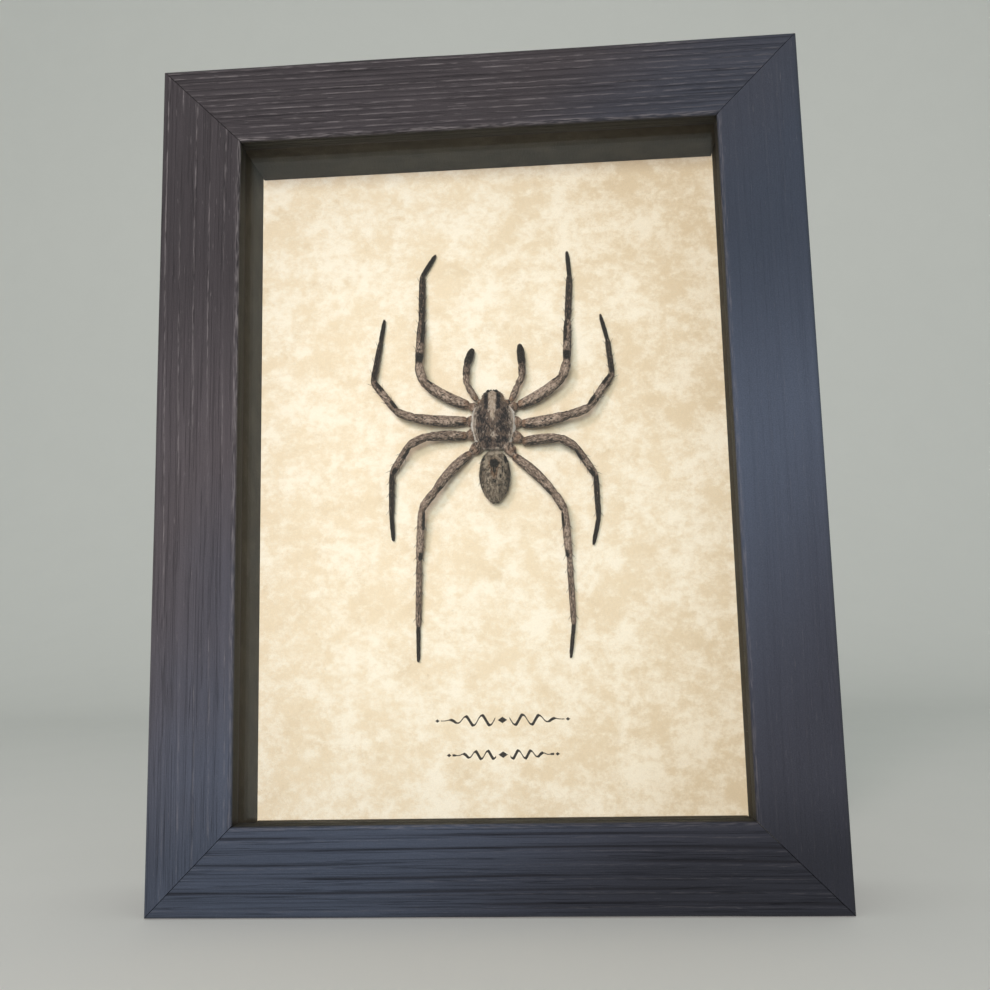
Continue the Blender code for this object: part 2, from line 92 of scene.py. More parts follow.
def rowsOf(values, name):  # vectors kept in a mesh, as rows of three numbers
    rows = np.zeros(len(values) * 3)
    values.foreach_get(name, rows)
    return rows.reshape(-1, 3)


def pointsOf(piece):
    return rowsOf(piece.data.vertices, "co")


def normalsOf(piece):
    return rowsOf(piece.data.vertices, "normal")


def setPoints(piece, points):
    piece.data.vertices.foreach_set("co", np.asarray(points, float).ravel())
    piece.data.update()


def push(piece, amounts):  # moves each point along its normal
    setPoints(piece, pointsOf(piece) + normalsOf(piece) * amounts[:, None])


def mark(mesh, name, values):  # a number or a vector on every vertex, for a material to read
    values = np.asarray(values, np.float32)
    flat = values.ndim == 1
    layer = mesh.attributes.new(name, "FLOAT" if flat else "FLOAT_VECTOR", "POINT")
    layer.data.foreach_set("value" if flat else "vector", values.ravel())


def placePiece(piece, finish, slot, *replaced):
    piece.data.materials.clear()
    piece.data.materials.append(finish)
    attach(piece, "root")
    if replaced:
        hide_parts(*replaced)


def unit(vectors):
    return vectors / np.maximum(np.linalg.norm(vectors, axis=-1, keepdims=True), 1e-9)


def step(value, low, high):  # smooth rise from 0 at low to 1 at high
    part = np.clip((value - low) / (high - low), 0, 1)
    return part * part * (3 - 2 * part)


def between(value, low, full, fall, end):  # rises from low to full, and falls from fall to end
    return step(value, low, full) * (1 - step(value, fall, end))


def softNoise(*place):
    return noise.noise(Vector(place))


# Shader maths: a Wire is a socket that Python's operators work on

def operator(operation, turned=False):
    def apply(self, other=0):
        first, second = (other, self) if turned else (self, other)
        return self.finish.node("Math", {"operation": operation}, {0: first, 1: second})
    return apply


class Wire:
    def __init__(self, finish, socket):
        self.finish = finish
        self.socket = socket

    __add__ = __radd__ = operator("ADD")
    __mul__ = __rmul__ = operator("MULTIPLY")
    __sub__ = operator("SUBTRACT")
    __rsub__ = operator("SUBTRACT", turned=True)
    __truediv__ = operator("DIVIDE")
    __lt__ = operator("LESS_THAN")
    __gt__ = operator("GREATER_THAN")
    __abs__ = operator("ABSOLUTE")


class Finish:  # a material in the making
    def __init__(self, name, shader):
        self.material = bpy.data.materials.new(name)
        self.material.use_nodes = True
        self.tree = self.material.node_tree
        self.shader = self.tree.nodes["Principled BSDF"]
        for socket, value in shader.items():
            self.shader.inputs[socket].default_value = value
        objectPlace = self.node("TexCoord", out="Object")
        self.place = self.node("VectorMath", {"operation": "SCALE"}, {0: objectPlace, "Scale": 1 / mm})

    def node(self, kind, settings=None, values=None, out=0):
        made = self.tree.nodes.new("ShaderNode" + kind)
        for name, value in (settings or {}).items():
            setattr(made, name, value)
        for name, value in (values or {}).items():
            if isinstance(value, Wire):
                self.tree.links.new(value.socket, made.inputs[name])
            else:
                made.inputs[name].default_value = value
        return Wire(self, made.outputs[out])

    def axes(self):
        return [self.node("SeparateXYZ", None, {0: self.place}, out=axis) for axis in range(3)]

    def stretched(self, scale=(1, 1, 1), shift=(0, 0, 0)):
        return self.node("Mapping", None, {"Vector": self.place, "Location": shift, "Scale": scale})

    def noise(self, place, scale, detail=2, roughness=0.5, distortion=0):
        values = {"Vector": place, "Scale": scale, "Detail": detail, "Roughness": roughness}
        return self.node("TexNoise", None, {**values, "Distortion": distortion})

    def rise(self, value, low, high):
        return self.node("MapRange", {"interpolation_type": "SMOOTHSTEP"}, {0: value, 1: low, 2: high})

    def blend(self, mask, first, second):
        first, second = [(*c, 1) if isinstance(c, tuple) else c for c in (first, second)]
        return self.node("Mix", {"data_type": "RGBA"}, {0: mask, 6: first, 7: second}, out=2)

    def scaled(self, colour, amount):
        return self.node("VectorMath", {"operation": "SCALE"}, {0: colour, "Scale": amount})

    def read(self, name, out="Fac"):
        return self.node("Attribute", {"attribute_name": name}, out=out)

    def feed(self, socket, wire):
        self.tree.links.new(wire.socket, self.shader.inputs[socket])

    def finished(self, colour, roughness=None, height=None, depth=0):  # depth of the relief, in mm
        self.feed("Base Color", colour)
        if roughness:
            self.feed("Roughness", roughness)
        if height:
            self.feed("Normal", self.node("Bump", None, {"Height": height, "Distance": depth * mm}))
        return self.material


# Finishes of the frame

stainedWood = {
    "warm": (0.056, 0.047, 0.053),  # upper left
    "paintedReflection": (0.047, 0.056, 0.083),  # painted blue reflection, lower left and right
    "corner": (0.048, 0.046, 0.062),  # painted shade of the lower right corner
    "groove": (0.010, 0.009, 0.012),
    "scratch": (0.26, 0.23, 0.24),
    "inside": (0.030, 0.028, 0.023),
    "roughness": 0.50,
}


def woodFinish(name, along, calm=0, look=stainedWood):  # calm is how far the grain is filled in and smooth
    wood = Finish(name, {"Specular IOR Level": 0.28})

    def grain(across, lengthwise, detail=2, roughness=0.5, shift=0):
        scale = [across] * 3
        scale[along] = lengthwise
        return wood.noise(wood.stretched(scale, (shift, shift, shift)), 1, detail, roughness)

    fibre = grain(6, 0.13, 3, 0.65)
    band = grain(0.45, 0.008, 3, 0.6, 0.45)
    pore = grain(1.7, 0.016, 2, 0.55, 7.7)
    dash = grain(3.4, 0.24, 2, 0.6, 21.9)
    grit = wood.noise(wood.place, 3.6, 2, 0.6)
    patch = wood.noise(wood.place, 0.03, 2)
    x, y, z = wood.axes()
    groove = wood.read("groove")
    # painted reflection: a bluish tint that grows towards the bottom and the right of the frame
    paintedReflection = wood.rise((frameHeight / mm - z) * 0.9 + x * 1.1 + patch * 50, 45, 150)
    colour = wood.blend(paintedReflection, look["warm"], look["paintedReflection"])
    # painted shade: darker and duller towards the lower right corner
    corner = wood.rise(x - z + frameMiddle / mm, 60, 150)
    colour = wood.blend(corner * 0.8, colour, look["corner"])
    streaks = band * (0.46 - calm * 0.28) + fibre * (0.56 - calm * 0.44)
    colour = wood.scaled(colour, 0.20 + calm * 0.28 + streaks + grit * (0.66 + calm * 0.10))
    # painted light and shade: lighter from the middle down, darker at the top, at the bottom and towards the
    # lower right corner
    stainAndPaintedLight = 0.74 + wood.rise(z, 165, 110) * 0.46 - wood.rise(z, 35, 10) * 0.30 - corner * 0.50
    colour = wood.scaled(colour, stainAndPaintedLight)
    line = 1 - wood.rise(abs(pore - 0.42), 0, 0.022)
    colour = wood.blend(wood.rise(groove, 0.10, 0.75) * 0.85, colour, look["groove"])
    colour = wood.blend(line * (0.26 - calm * 0.22), colour, look["groove"])
    ridge = wood.read("ridge") * wood.rise(dash, 0.42, 0.60)
    worn = (ridge * 0.7 + wood.rise(dash, 0.66, 0.76) * 0.3) * (1 - paintedReflection * 0.7)
    # a paler band along the sight edge: partly wear, partly a painted highlight on the bevel
    edge = wood.read("edge") * wood.rise(dash, 0.42, 0.66) * (1 - paintedReflection * 0.6)
    colour = wood.blend(worn * (1 - groove) + edge * 0.50, colour, look["scratch"])
    colour = wood.blend(wood.read("inside"), colour, look["inside"])
    height = (fibre * 0.7 + band * 0.3 - line * 0.5) * (1 - calm * 0.7) + grit * 0.4
    return wood.finished(colour, look["roughness"] + fibre * 0.18 + groove * 0.15, height, 0.16)


liningLook = {"dark": (0.022, 0.020, 0.016), "light": (0.040, 0.037, 0.029), "roughness": 0.62}


def liningFinish(look=liningLook):
    lining = Finish("darkLining", {"Specular IOR Level": 0.25})
    mottle = lining.noise(lining.place, 0.18, 4, 0.6)
    fibre = lining.noise(lining.stretched((2, 0.5, 2)), 1, 3)
    colour = lining.blend(lining.rise(mottle, 0.35, 0.7), look["dark"], look["light"])
    colour = lining.scaled(colour, 0.8 + fibre * 0.4)
    return lining.finished(colour, look["roughness"] + fibre * 0.2, fibre, 0.08)


def glassFinish():
    glass = Finish("clearGlass", {"Base Color": (1, 1, 1, 1), "Roughness": 0.02, "IOR": 1.45,
                                  "Transmission Weight": 1})
    ray = glass.node("LightPath", out="Is Shadow Ray")  # the pane throws next to no shadow
    clear = glass.node("BsdfTransparent", None, {"Color": (0.97, 0.98, 0.97, 1)})
    surface = Wire(glass, glass.shader.outputs[0])
    mixed = glass.node("MixShader", None, {0: ray, 1: surface, 2: clear})
    glass.tree.links.new(mixed.socket, glass.tree.nodes["Material Output"].inputs["Surface"])
    return glass.material


# The card: mottled parchment paper with a printed ornament of two lines near its foot

parchment = {
    "cream": (0.88, 0.73, 0.53),
    "tan": (0.70, 0.54, 0.35),
    "cloud": (0.99, 0.895, 0.74),
    "fleck": (0.42, 0.30, 0.17),
    "ink": (0.035, 0.028, 0.024),
    "middle": 1.5,  # centre of both lines, sideways
    # Height of each line, half its length, and its waves' height and length
    "lines": [(42.2, 16.5, 1.25, 4.4), (33.2, 13.5, 0.95, 3.3)],
}


def ornament(card, look):  # running waves, thick and thin like pen strokes, with lozenges, and no lettering
    x, y, z = card.axes()
    ink = 0
    for height, half, rise, period in look["lines"]:
        out = abs(x - look["middle"])
        up = z - height
        turn = out * (2 * math.pi / period)
        fade = card.rise(out, half, half * 0.45)
        wave = card.node("Math", {"operation": "SINE"}, {0: turn}) * fade * rise
        slope = card.node("Math", {"operation": "COSINE"}, {0: turn})
        stroke = (0.22 + card.rise(slope, -0.2, 1) * 0.36) * (0.5 + fade * 0.7)
        line = (abs(up - wave) < stroke) * (out < half) * (out > 1.9)
        lozenge = (out / 1.25 + abs(up) / 0.85) < 1
        tail = (abs(out - half - 0.9) / 0.6 + abs(up) / 0.45) < 1
        ink = ink + line + lozenge + tail
    return card.node("Clamp", None, {0: ink})


def cardFinish(look=parchment):
    card = Finish("parchmentCard", {"Specular IOR Level": 0.2})
    x, y, z = card.axes()
    wash = card.noise(card.place, 0.020, 3, 0.55)
    cloud = card.noise(card.stretched((0.28, 0.28, 0.36)), 1, 9, 0.76, 0.1)
    drift = card.noise(card.stretched(shift=(9, 3, 27)), 0.075, 4, 0.6)
    blotch = card.noise(card.stretched(shift=(41, 5, 2)), 0.11, 7, 0.68)
    speck = card.noise(card.place, 1.9, 2, 0.5)
    fleck = card.noise(card.stretched(shift=(31, 7, 12)), 0.75, 2, 0.5)
    tooth = card.noise(card.place, 3.2, 5, 0.7)
    away = abs(z - frameMiddle / mm)
    # painted shade: the card turns tan and darker towards the right and towards its top and bottom, with
    # fewer pale clouds there
    paintedShadeRight = card.rise(x + away * 0.5 + wash * 60, 55, 130)
    colour = card.blend(paintedShadeRight * 0.80, look["cream"], look["tan"])
    colour = card.blend(card.rise(blotch, 0.47, 0.75) * 0.40, colour, look["tan"])
    clouds = card.rise(cloud + (drift - 0.5) * 0.7, 0.36, 0.68)
    colour = card.blend(clouds * (1 - paintedShadeRight * 0.40), colour, look["cloud"])
    # painted light: a little brighter on the left, around the middle height
    bright = card.rise(x, 40, -50) * card.rise(away, 90, 20)
    colour = card.scaled(colour, 0.85 + tooth * 0.26 + bright * 0.07)
    spots = card.rise(speck, 0.735, 0.79) * 0.30 + card.rise(fleck, 0.74, 0.78) * 0.18
    colour = card.blend(spots, colour, look["fleck"])
    colour = card.blend(ornament(card, look), colour, look["ink"])
    return card.finished(colour, 0.72 + tooth * 0.15, tooth + cloud * 0.5, 0.05)


# Finishes of the back

boardLook = {
    "dark": (0.135, 0.070, 0.034),
    "light": (0.255, 0.150, 0.078),
    "speck": (0.060, 0.030, 0.016),
    "roughness": 0.50,
}
metalLooks = {  # rolled gives the axis that the rolling marks follow
    "zincPlate": {"bright": (0.62, 0.64, 0.66), "dull": (0.38, 0.39, 0.40), "rolled": 2},
    "brassPlate": {"bright": (0.78, 0.58, 0.26), "dull": (0.45, 0.31, 0.13), "rolled": 0},
}


def boardFinish(look=boardLook):
    board = Finish("hardboard", {"Specular IOR Level": 0.35})
    fibre = board.noise(board.stretched((1.2, 1.2, 0.9)), 1, 6, 0.72, 1.2)
    cloud = board.noise(board.place, 0.05, 3)
    speck = board.noise(board.place, 3, 2)
    colour = board.blend(board.rise(fibre, 0.35, 0.68), look["dark"], look["light"])
    colour = board.blend(board.rise(speck, 0.68, 0.76) * 0.6, colour, look["speck"])
    colour = board.scaled(colour, 0.8 + cloud * 0.4)
    return board.finished(colour, look["roughness"] + fibre * 0.25, fibre, 0.10)


def metalFinish(name):
    look = metalLooks[name]
    metal = Finish(name, {"Metallic": 1})
    scale = [6, 6, 6]
    scale[look["rolled"]] = 0.3
    roll = metal.noise(metal.stretched(scale), 1, 3, 0.6)
    # on the plate this is only blotchy tarnish
    stainAndPaintedLight = metal.noise(metal.place, 0.5, 4, 0.6)
    colour = metal.blend(metal.rise(stainAndPaintedLight, 0.45, 0.7), look["bright"], look["dull"])
    roughness = 0.24 + stainAndPaintedLight * 0.22 + roll * 0.12
    return metal.finished(metal.scaled(colour, 0.85 + roll * 0.3), roughness, roll, 0.03)


# Rails: a squared bar with a lip in front of the glass, mitred at both ends, its grain cut into its faces

railShape = {
    "arris": 1.2,
    "sightArris": 0.8,
    "backArris": 0.6,
    "joint": 0.07,  # half the gap at a mitre
    "gap": 0.3,
    "cutsAlong": 110,
    # Side of the rail, least width of what is cut, and cuts
    "cutsAcross": [("front", 8, 84), ("front", 1.5, 26), ("outer", 30, 80), ("sight", 3, 12)],
    "deepGroove": 0.22,
    "fineGroove": 0.10,
    "deepest": 0.32,
}
railGrain = {  # space between long grooves, their depth, and how worn the ridges beside them are
    "rail_bottom": {"apart": 2.9, "depth": 0.85, "worn": 0.4},
    "rail_top": {"apart": 1.6, "depth": 0.6, "worn": 0.6},
    "rail_left": {"apart": 3.7, "depth": 0.30, "worn": 0.62},
    "rail_right": {"apart": 3.7, "depth": 0.08, "worn": 0.12},
}


def shapeRail(node, length, reach, turn, seed, shape=railShape):
    face = railHigh.z - railLow.z
    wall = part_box("spacer_bottom")[0].z - shape["gap"] * mm
    lipBack = glassFront - shape["gap"] * mm
    outer = -reach
    sight = outer + face
    near = 0.01 * mm
    select()
    bpy.ops.mesh.primitive_cube_add(size=1, location=(0, (frameFront + frameBack) / 2, outer + wall / 2),
                                    scale=(length, frameBack - frameFront, wall))
    rail = bpy.context.object
    rail.name = "carved_" + node
    bpy.ops.object.transform_apply(location=True, scale=True)
    bpy.ops.object.mode_set(mode="EDIT")
    bpy.ops.mesh.bisect(plane_co=(0, lipBack, 0), plane_no=(0, 1, 0))
    pick(rail, "FACE", lambda f: f.normal.z > 0.9 and f.calc_center_median().y < lipBack)
    bpy.ops.mesh.extrude_region_move(TRANSFORM_OT_translate={"value": (0, 0, face - wall)})

    def lengthwise(edge, y, z):
        return all(abs(v.co.y - y) < near and abs(v.co.z - z) < near for v in edge.verts)

    for y, z, size in ((frameFront, outer, "arris"), (frameFront, sight, "sightArris"),
                       (frameBack, outer, "backArris")):
        pick(rail, "EDGE", lambda e: lengthwise(e, y, z))
        bpy.ops.mesh.bevel(offset=shape[size] * mm, segments=3, affect="EDGES")
    corner = length / 2 - shape["joint"] * mm * math.sqrt(2)
    for side in (-1, 1):  # the mitres
        bpy.ops.mesh.select_all(action="SELECT")
        bpy.ops.mesh.bisect(plane_co=(side * corner, 0, outer), plane_no=(side, 0, 1), use_fill=True,
                            clear_outer=True)
    pick(rail, "EDGE", lambda e: abs((e.verts[0].co - e.verts[1].co).normalized().x) > 0.95)
    bpy.ops.mesh.subdivide(number_cuts=shape["cutsAlong"])

    def spans(edge, axis, level, across, least):
        a, b = edge.verts
        flat = abs(a.co[axis] - level) < near and abs(b.co[axis] - level) < near
        return flat and abs(a.co[across] - b.co[across]) > least * mm

    levels = {"front": (1, frameFront, 2), "outer": (2, outer, 1), "sight": (2, sight, 1)}
    for place, least, cuts in shape["cutsAcross"]:
        pick(rail, "EDGE", lambda e: spans(e, *levels[place], least))
        bpy.ops.mesh.subdivide(number_cuts=cuts)
    bpy.ops.object.mode_set(mode="OBJECT")
    carveGrain(rail, outer / mm, sight / mm, lipBack / mm, seed, railGrain[node])
    rail.location = (0, 0, frameMiddle)
    rail.rotation_euler = (0, turn, 0)
    select(rail)
    bpy.ops.object.transform_apply(location=True, rotation=True)
    bpy.ops.object.shade_smooth_by_angle(angle=math.radians(38))
    return rail


def ripple(turns, sharp):
    return (0.5 + 0.5 * math.cos(turns * 2 * math.pi)) ** sharp


def carveGrain(rail, outer, sight, lipBack, seed, grain, shape=railShape):
    sheet = bmesh.new()
    sheet.from_mesh(rail.data)
    looks = {name: np.zeros(len(sheet.verts)) for name in ("groove", "ridge", "edge", "inside")}
    sharp = (grain["apart"] * 1.8) ** 2
    front = frameFront / mm
    moves = []
    for number, vert in enumerate(sheet.verts):
        x, y, z = vert.co / mm
        normals = [flat.normal for flat in vert.link_faces if abs(flat.normal.x) < 0.3]  # not a mitre's
        towards = sum(normals, Vector((0, 0, 0)))
        onBack = y > lipBack - 0.01 and z > outer + 0.8
        if onBack or towards.length < 0.1:
            continue
        across = z - outer
        if y > front + 1.3:
            across = front - y if z < outer + 1 else sight - outer + y - front
        wide = across / grain["apart"] + softNoise(x * 0.006, across * 0.03, seed) * 0.7
        close = across * 1.20 + softNoise(x * 0.016, across * 0.30, seed + 9.3) * 0.9
        broken = float(step(softNoise(x * 0.020, across * 0.7, seed + 4.1), -0.50, 0.20))
        deep = ripple(wide, 5) * broken * shape["deepGroove"]
        fine = ripple(close, 3) * (1.2 - broken) * shape["fineGroove"]
        depth = min((deep + fine) * grain["depth"], shape["deepest"])
        shown = float(step(softNoise(x * 0.02, across * 0.9, seed + 7.7), -0.55, 0))
        inside = step(y - front, 0.4, 1.4) if z > sight - 0.4 else 0
        looks["groove"][number] = depth / shape["deepest"]
        looks["ridge"][number] = ripple(wide + 0.26, sharp) * shown * grain["worn"]
        looks["edge"][number] = step(across, 19.6, 20.6) * (1 - inside) if y < front + 0.9 else 0
        looks["inside"][number] = inside
        moves.append((vert, towards.normalized() * depth * mm))
    for vert, move in moves:
        vert.co -= move
    sheet.to_mesh(rail.data)
    sheet.free()
    for name, values in looks.items():
        mark(rail.data, name, values)


def buildFrame():
    acrossWood = woodFinish("stainedWoodAcross", 0)
    uprightWood = woodFinish("stainedWoodUpright", 2)
    filledWood = woodFinish("stainedWoodFilled", 2, 1)
    quarter = math.pi / 2
    rails = {
        "rail_bottom": (frameWidth, frameMiddle, 0, 1.7, acrossWood),
        "rail_top": (frameWidth, frameMiddle, 2 * quarter, 5.2, acrossWood),
        "rail_left": (frameHeight, frameWidth / 2, quarter, 8.9, uprightWood),
        "rail_right": (frameHeight, frameWidth / 2, -quarter, 12.4, filledWood),
    }
    for node, (*shape, finish) in rails.items():
        placePiece(shapeRail(node, *shape), finish, "stained_wood", node)
    print("rails carved")
    finishes = {
        "spacer": liningFinish(),
        "glass": glassFinish(),
        "mount_card": cardFinish(),
        "backing_board": boardFinish(),
        "retaining_tab": metalFinish("zincPlate"),
        "hanger": metalFinish("brassPlate"),
    }
    for node, item in frame["nodes"].items():
        for start, finish in finishes.items():
            if node.startswith(start):
                item.material_slots[0].material = finish
    print("glazing, card and back finished")


# Fur and skin of the spider. Both read the marks dark, pale and warm; each hair also has a strand number.

furColours = {
    "leg": {"mid": (0.170, 0.115, 0.084), "pale": (0.52, 0.395, 0.315), "dark": (0.018, 0.012, 0.009),
            "warm": (0.30, 0.155, 0.080)},
    "carapace": {"mid": (0.145, 0.098, 0.074), "pale": (0.56, 0.47, 0.39), "dark": (0.019, 0.012, 0.013),
                 "warm": (0.36, 0.24, 0.15)},
    "abdomen": {"mid": (0.150, 0.112, 0.080), "pale": (0.42, 0.345, 0.26), "dark": (0.017, 0.012, 0.009),
                "warm": (0.20, 0.09, 0.035)},
}
whiteRim = (0.74, 0.69, 0.64)  # of the carapace


def furFinish(part, hairs):
    palette = furColours[part]
    fur = Finish(part + ("Hair" if hairs else "Skin"), {"Specular IOR Level": 0.35, "Roughness": 0.55})
    route = fur.read("route", "Vector")
    speckle = fur.noise(route, 2.2, 4, 0.72)
    patch = fur.noise(route, 0.7, 3, 0.6, 0.4)
    other = fur.noise(fur.node("Mapping", None, {"Vector": route, "Location": (17, 5, 3)}), 2.4, 4, 0.70)
    pale = fur.rise(fur.read("pale") + (speckle - 0.5) * 3.4 + (patch - 0.5) * 1.2, 0.12, 0.80)
    dark = fur.rise(fur.read("dark") + (other - 0.5) * 3.2 - (speckle - 0.5) * 0.8, 0.36, 0.60)
    colour = fur.blend(pale, palette["mid"], palette["pale"])
    colour = fur.blend(fur.read("warm") * fur.rise(other, 0.3, 0.6), colour, palette["warm"])
    colour = fur.blend(dark, colour, palette["dark"])
    colour = fur.blend(fur.rise(fur.read("pale"), 1.1, 1.7), colour, whiteRim)
    if hairs:
        return fur.finished(fur.scaled(colour, 0.55 + fur.read("strand") * 0.95))
    fleck = fur.noise(fur.place, 5.5, 3, 0.65)
    return fur.finished(fur.scaled(colour, 0.55 + fleck * 0.8), None, fleck + speckle * 0.6, 0.12)


glossLooks = {
    "eyeGloss": {"colour": (0.012, 0.009, 0.008), "roughness": 0.08},
    "jawHorn": {"colour": (0.050, 0.022, 0.014), "roughness": 0.28},
}


def glossFinish(name):
    colour = glossLooks[name]["colour"]
    gloss = Finish(name, {"Specular IOR Level": 0.6})
    cloud = gloss.noise(gloss.place, 1.6, 3)
    fine = gloss.noise(gloss.place, 9, 2)
    mixed = gloss.blend(cloud, colour, tuple(c * 0.4 for c in colour))
    roughness = glossLooks[name]["roughness"] + fine * 0.1
    return gloss.finished(gloss.scaled(mixed, 0.8 + fine * 0.4), roughness, fine, 0.02)


# The spider's own plan is in millimetres: +X to its right, +Y towards its head and +Z off the card

spiderPlace = {"x": 1.1, "up": 14.3, "furDepth": 0.12}


def planToFrame(points):
    points = np.asarray(points, float)
    moved = np.empty_like(points)
    moved[:, 0] = points[:, 0] + spiderPlace["x"]
    moved[:, 1] = cardFront / mm - points[:, 2]
    moved[:, 2] = frameMiddle / mm + spiderPlace["up"] + points[:, 1]
    return moved * mm


def eased(places, stations, soft=0.035):  # reads a table of stations with its corners rounded off
    table = np.array(stations, float)
    grid = np.linspace(-0.3, 1.3, 641)
    kernel = np.exp(-0.5 * (np.linspace(-0.15, 0.15, 121) / soft) ** 2)
    kernel /= kernel.sum()
    columns = []
    for column in range(1, table.shape[1]):
        line = np.interp(grid, table[:, 0], table[:, column])
        line = np.convolve(np.pad(line, 60, mode="edge"), kernel, mode="valid")
        columns.append(np.interp(places, grid, line))
    return columns


def ball(place=(0, 0, 0), radii=(1, 1, 1), faces=(24, 16)):
    select()
    bpy.ops.mesh.primitive_uv_sphere_add(segments=faces[0], ring_count=faces[1], radius=1, location=place,
                                         scale=radii)
    bpy.ops.object.transform_apply(location=True, scale=True)
    return bpy.context.object


def roundStart(name, faces):  # a sphere, whose poles become the two ends of a form
    piece = ball(faces=faces)
    piece.name = name
    return piece, pointsOf(piece)


def joined(pieces, name):
    select(*pieces)
    bpy.ops.object.join()
    whole = bpy.context.object
    whole.name = name
    whole.data.shade_smooth()
    return whole


def grownForm(name, form, faces, shift=(0, 0)):
    piece, sphere = roundStart(name, faces)
    ring = np.hypot(sphere[:, 0], sphere[:, 1])
    place = (1 - sphere[:, 2]) / 2
    halfWidth, top, under = eased(place, form["stations"])
    swell = ring ** form["blunt"]
    safe = np.maximum(ring, 1e-6)
    side, lift = sphere[:, 0] / safe, -sphere[:, 1] / safe
    edge = form["edge"]
    depth = spiderPlace["furDepth"]
    reach = np.where(lift > 0, top - edge, edge - under) - depth
    across = side * (halfWidth - depth) * swell + shift[0]
    ahead = form["front"] - depth - place * (form["length"] - 2 * depth) + shift[1]
    setPoints(piece, np.stack([across, ahead, edge + lift * reach * swell], axis=1))
    piece.data.shade_smooth()
    return piece


def lumps(piece, size, amount, seed=0):  # raises and lowers a form by soft noise
    rises = [softNoise(x / size + seed, y / size, z / size) for x, y, z in pointsOf(piece)]
    push(piece, np.array(rises) * amount)


def fromMiddle(points, across, along, wide, far):  # squared, and 1 at the rim of the oval
    return ((points[:, 0] - across) / wide) ** 2 + ((points[:, 1] - along) / far) ** 2


def dents(piece, ovals):  # each is (across, along, half width, half length, rise), on the upper side only
    points = pointsOf(piece)
    total = sum(rise * np.exp(-fromMiddle(points, *oval)) for *oval, rise in ovals)
    push(piece, total * (normalsOf(piece)[:, 2] > 0))


def spots(points, ovals):  # soft ovals: across, along, half width, half length, strength
    return strongest(*(strength * (1 - step(fromMiddle(points, *oval), 0.6, 1.3))
                       for *oval, strength in ovals))


def strongest(*layers):
    return reduce(np.maximum, layers)


def mirrored(*ovals):  # each with its twin on the other side
    return [(side * across, *rest) for across, *rest in ovals for side in (-1, 1)]


# Hair: slender spikes with their roots in the skin

hairKinds = {
    "nap": {"perArea": 24, "length": 0.62, "thick": 0.030, "lift": 17, "stray": 0.22},
    "bristle": {"perArea": 1.1, "length": 1.15, "thick": 0.040, "lift": 38, "stray": 0.30},
}
hairShape = {
    "sunk": 0.05,  # how deep a hair starts in the skin
    "clearance": 0.06,  # between the hairs and the card
    "bend": 0.55,  # the part of its length up to its bend
    "droop": 0.12,
    "taper": 0.72,  # its thickness at the bend, as a part of that at the root
}
markNames = ("dark", "pale", "warm")


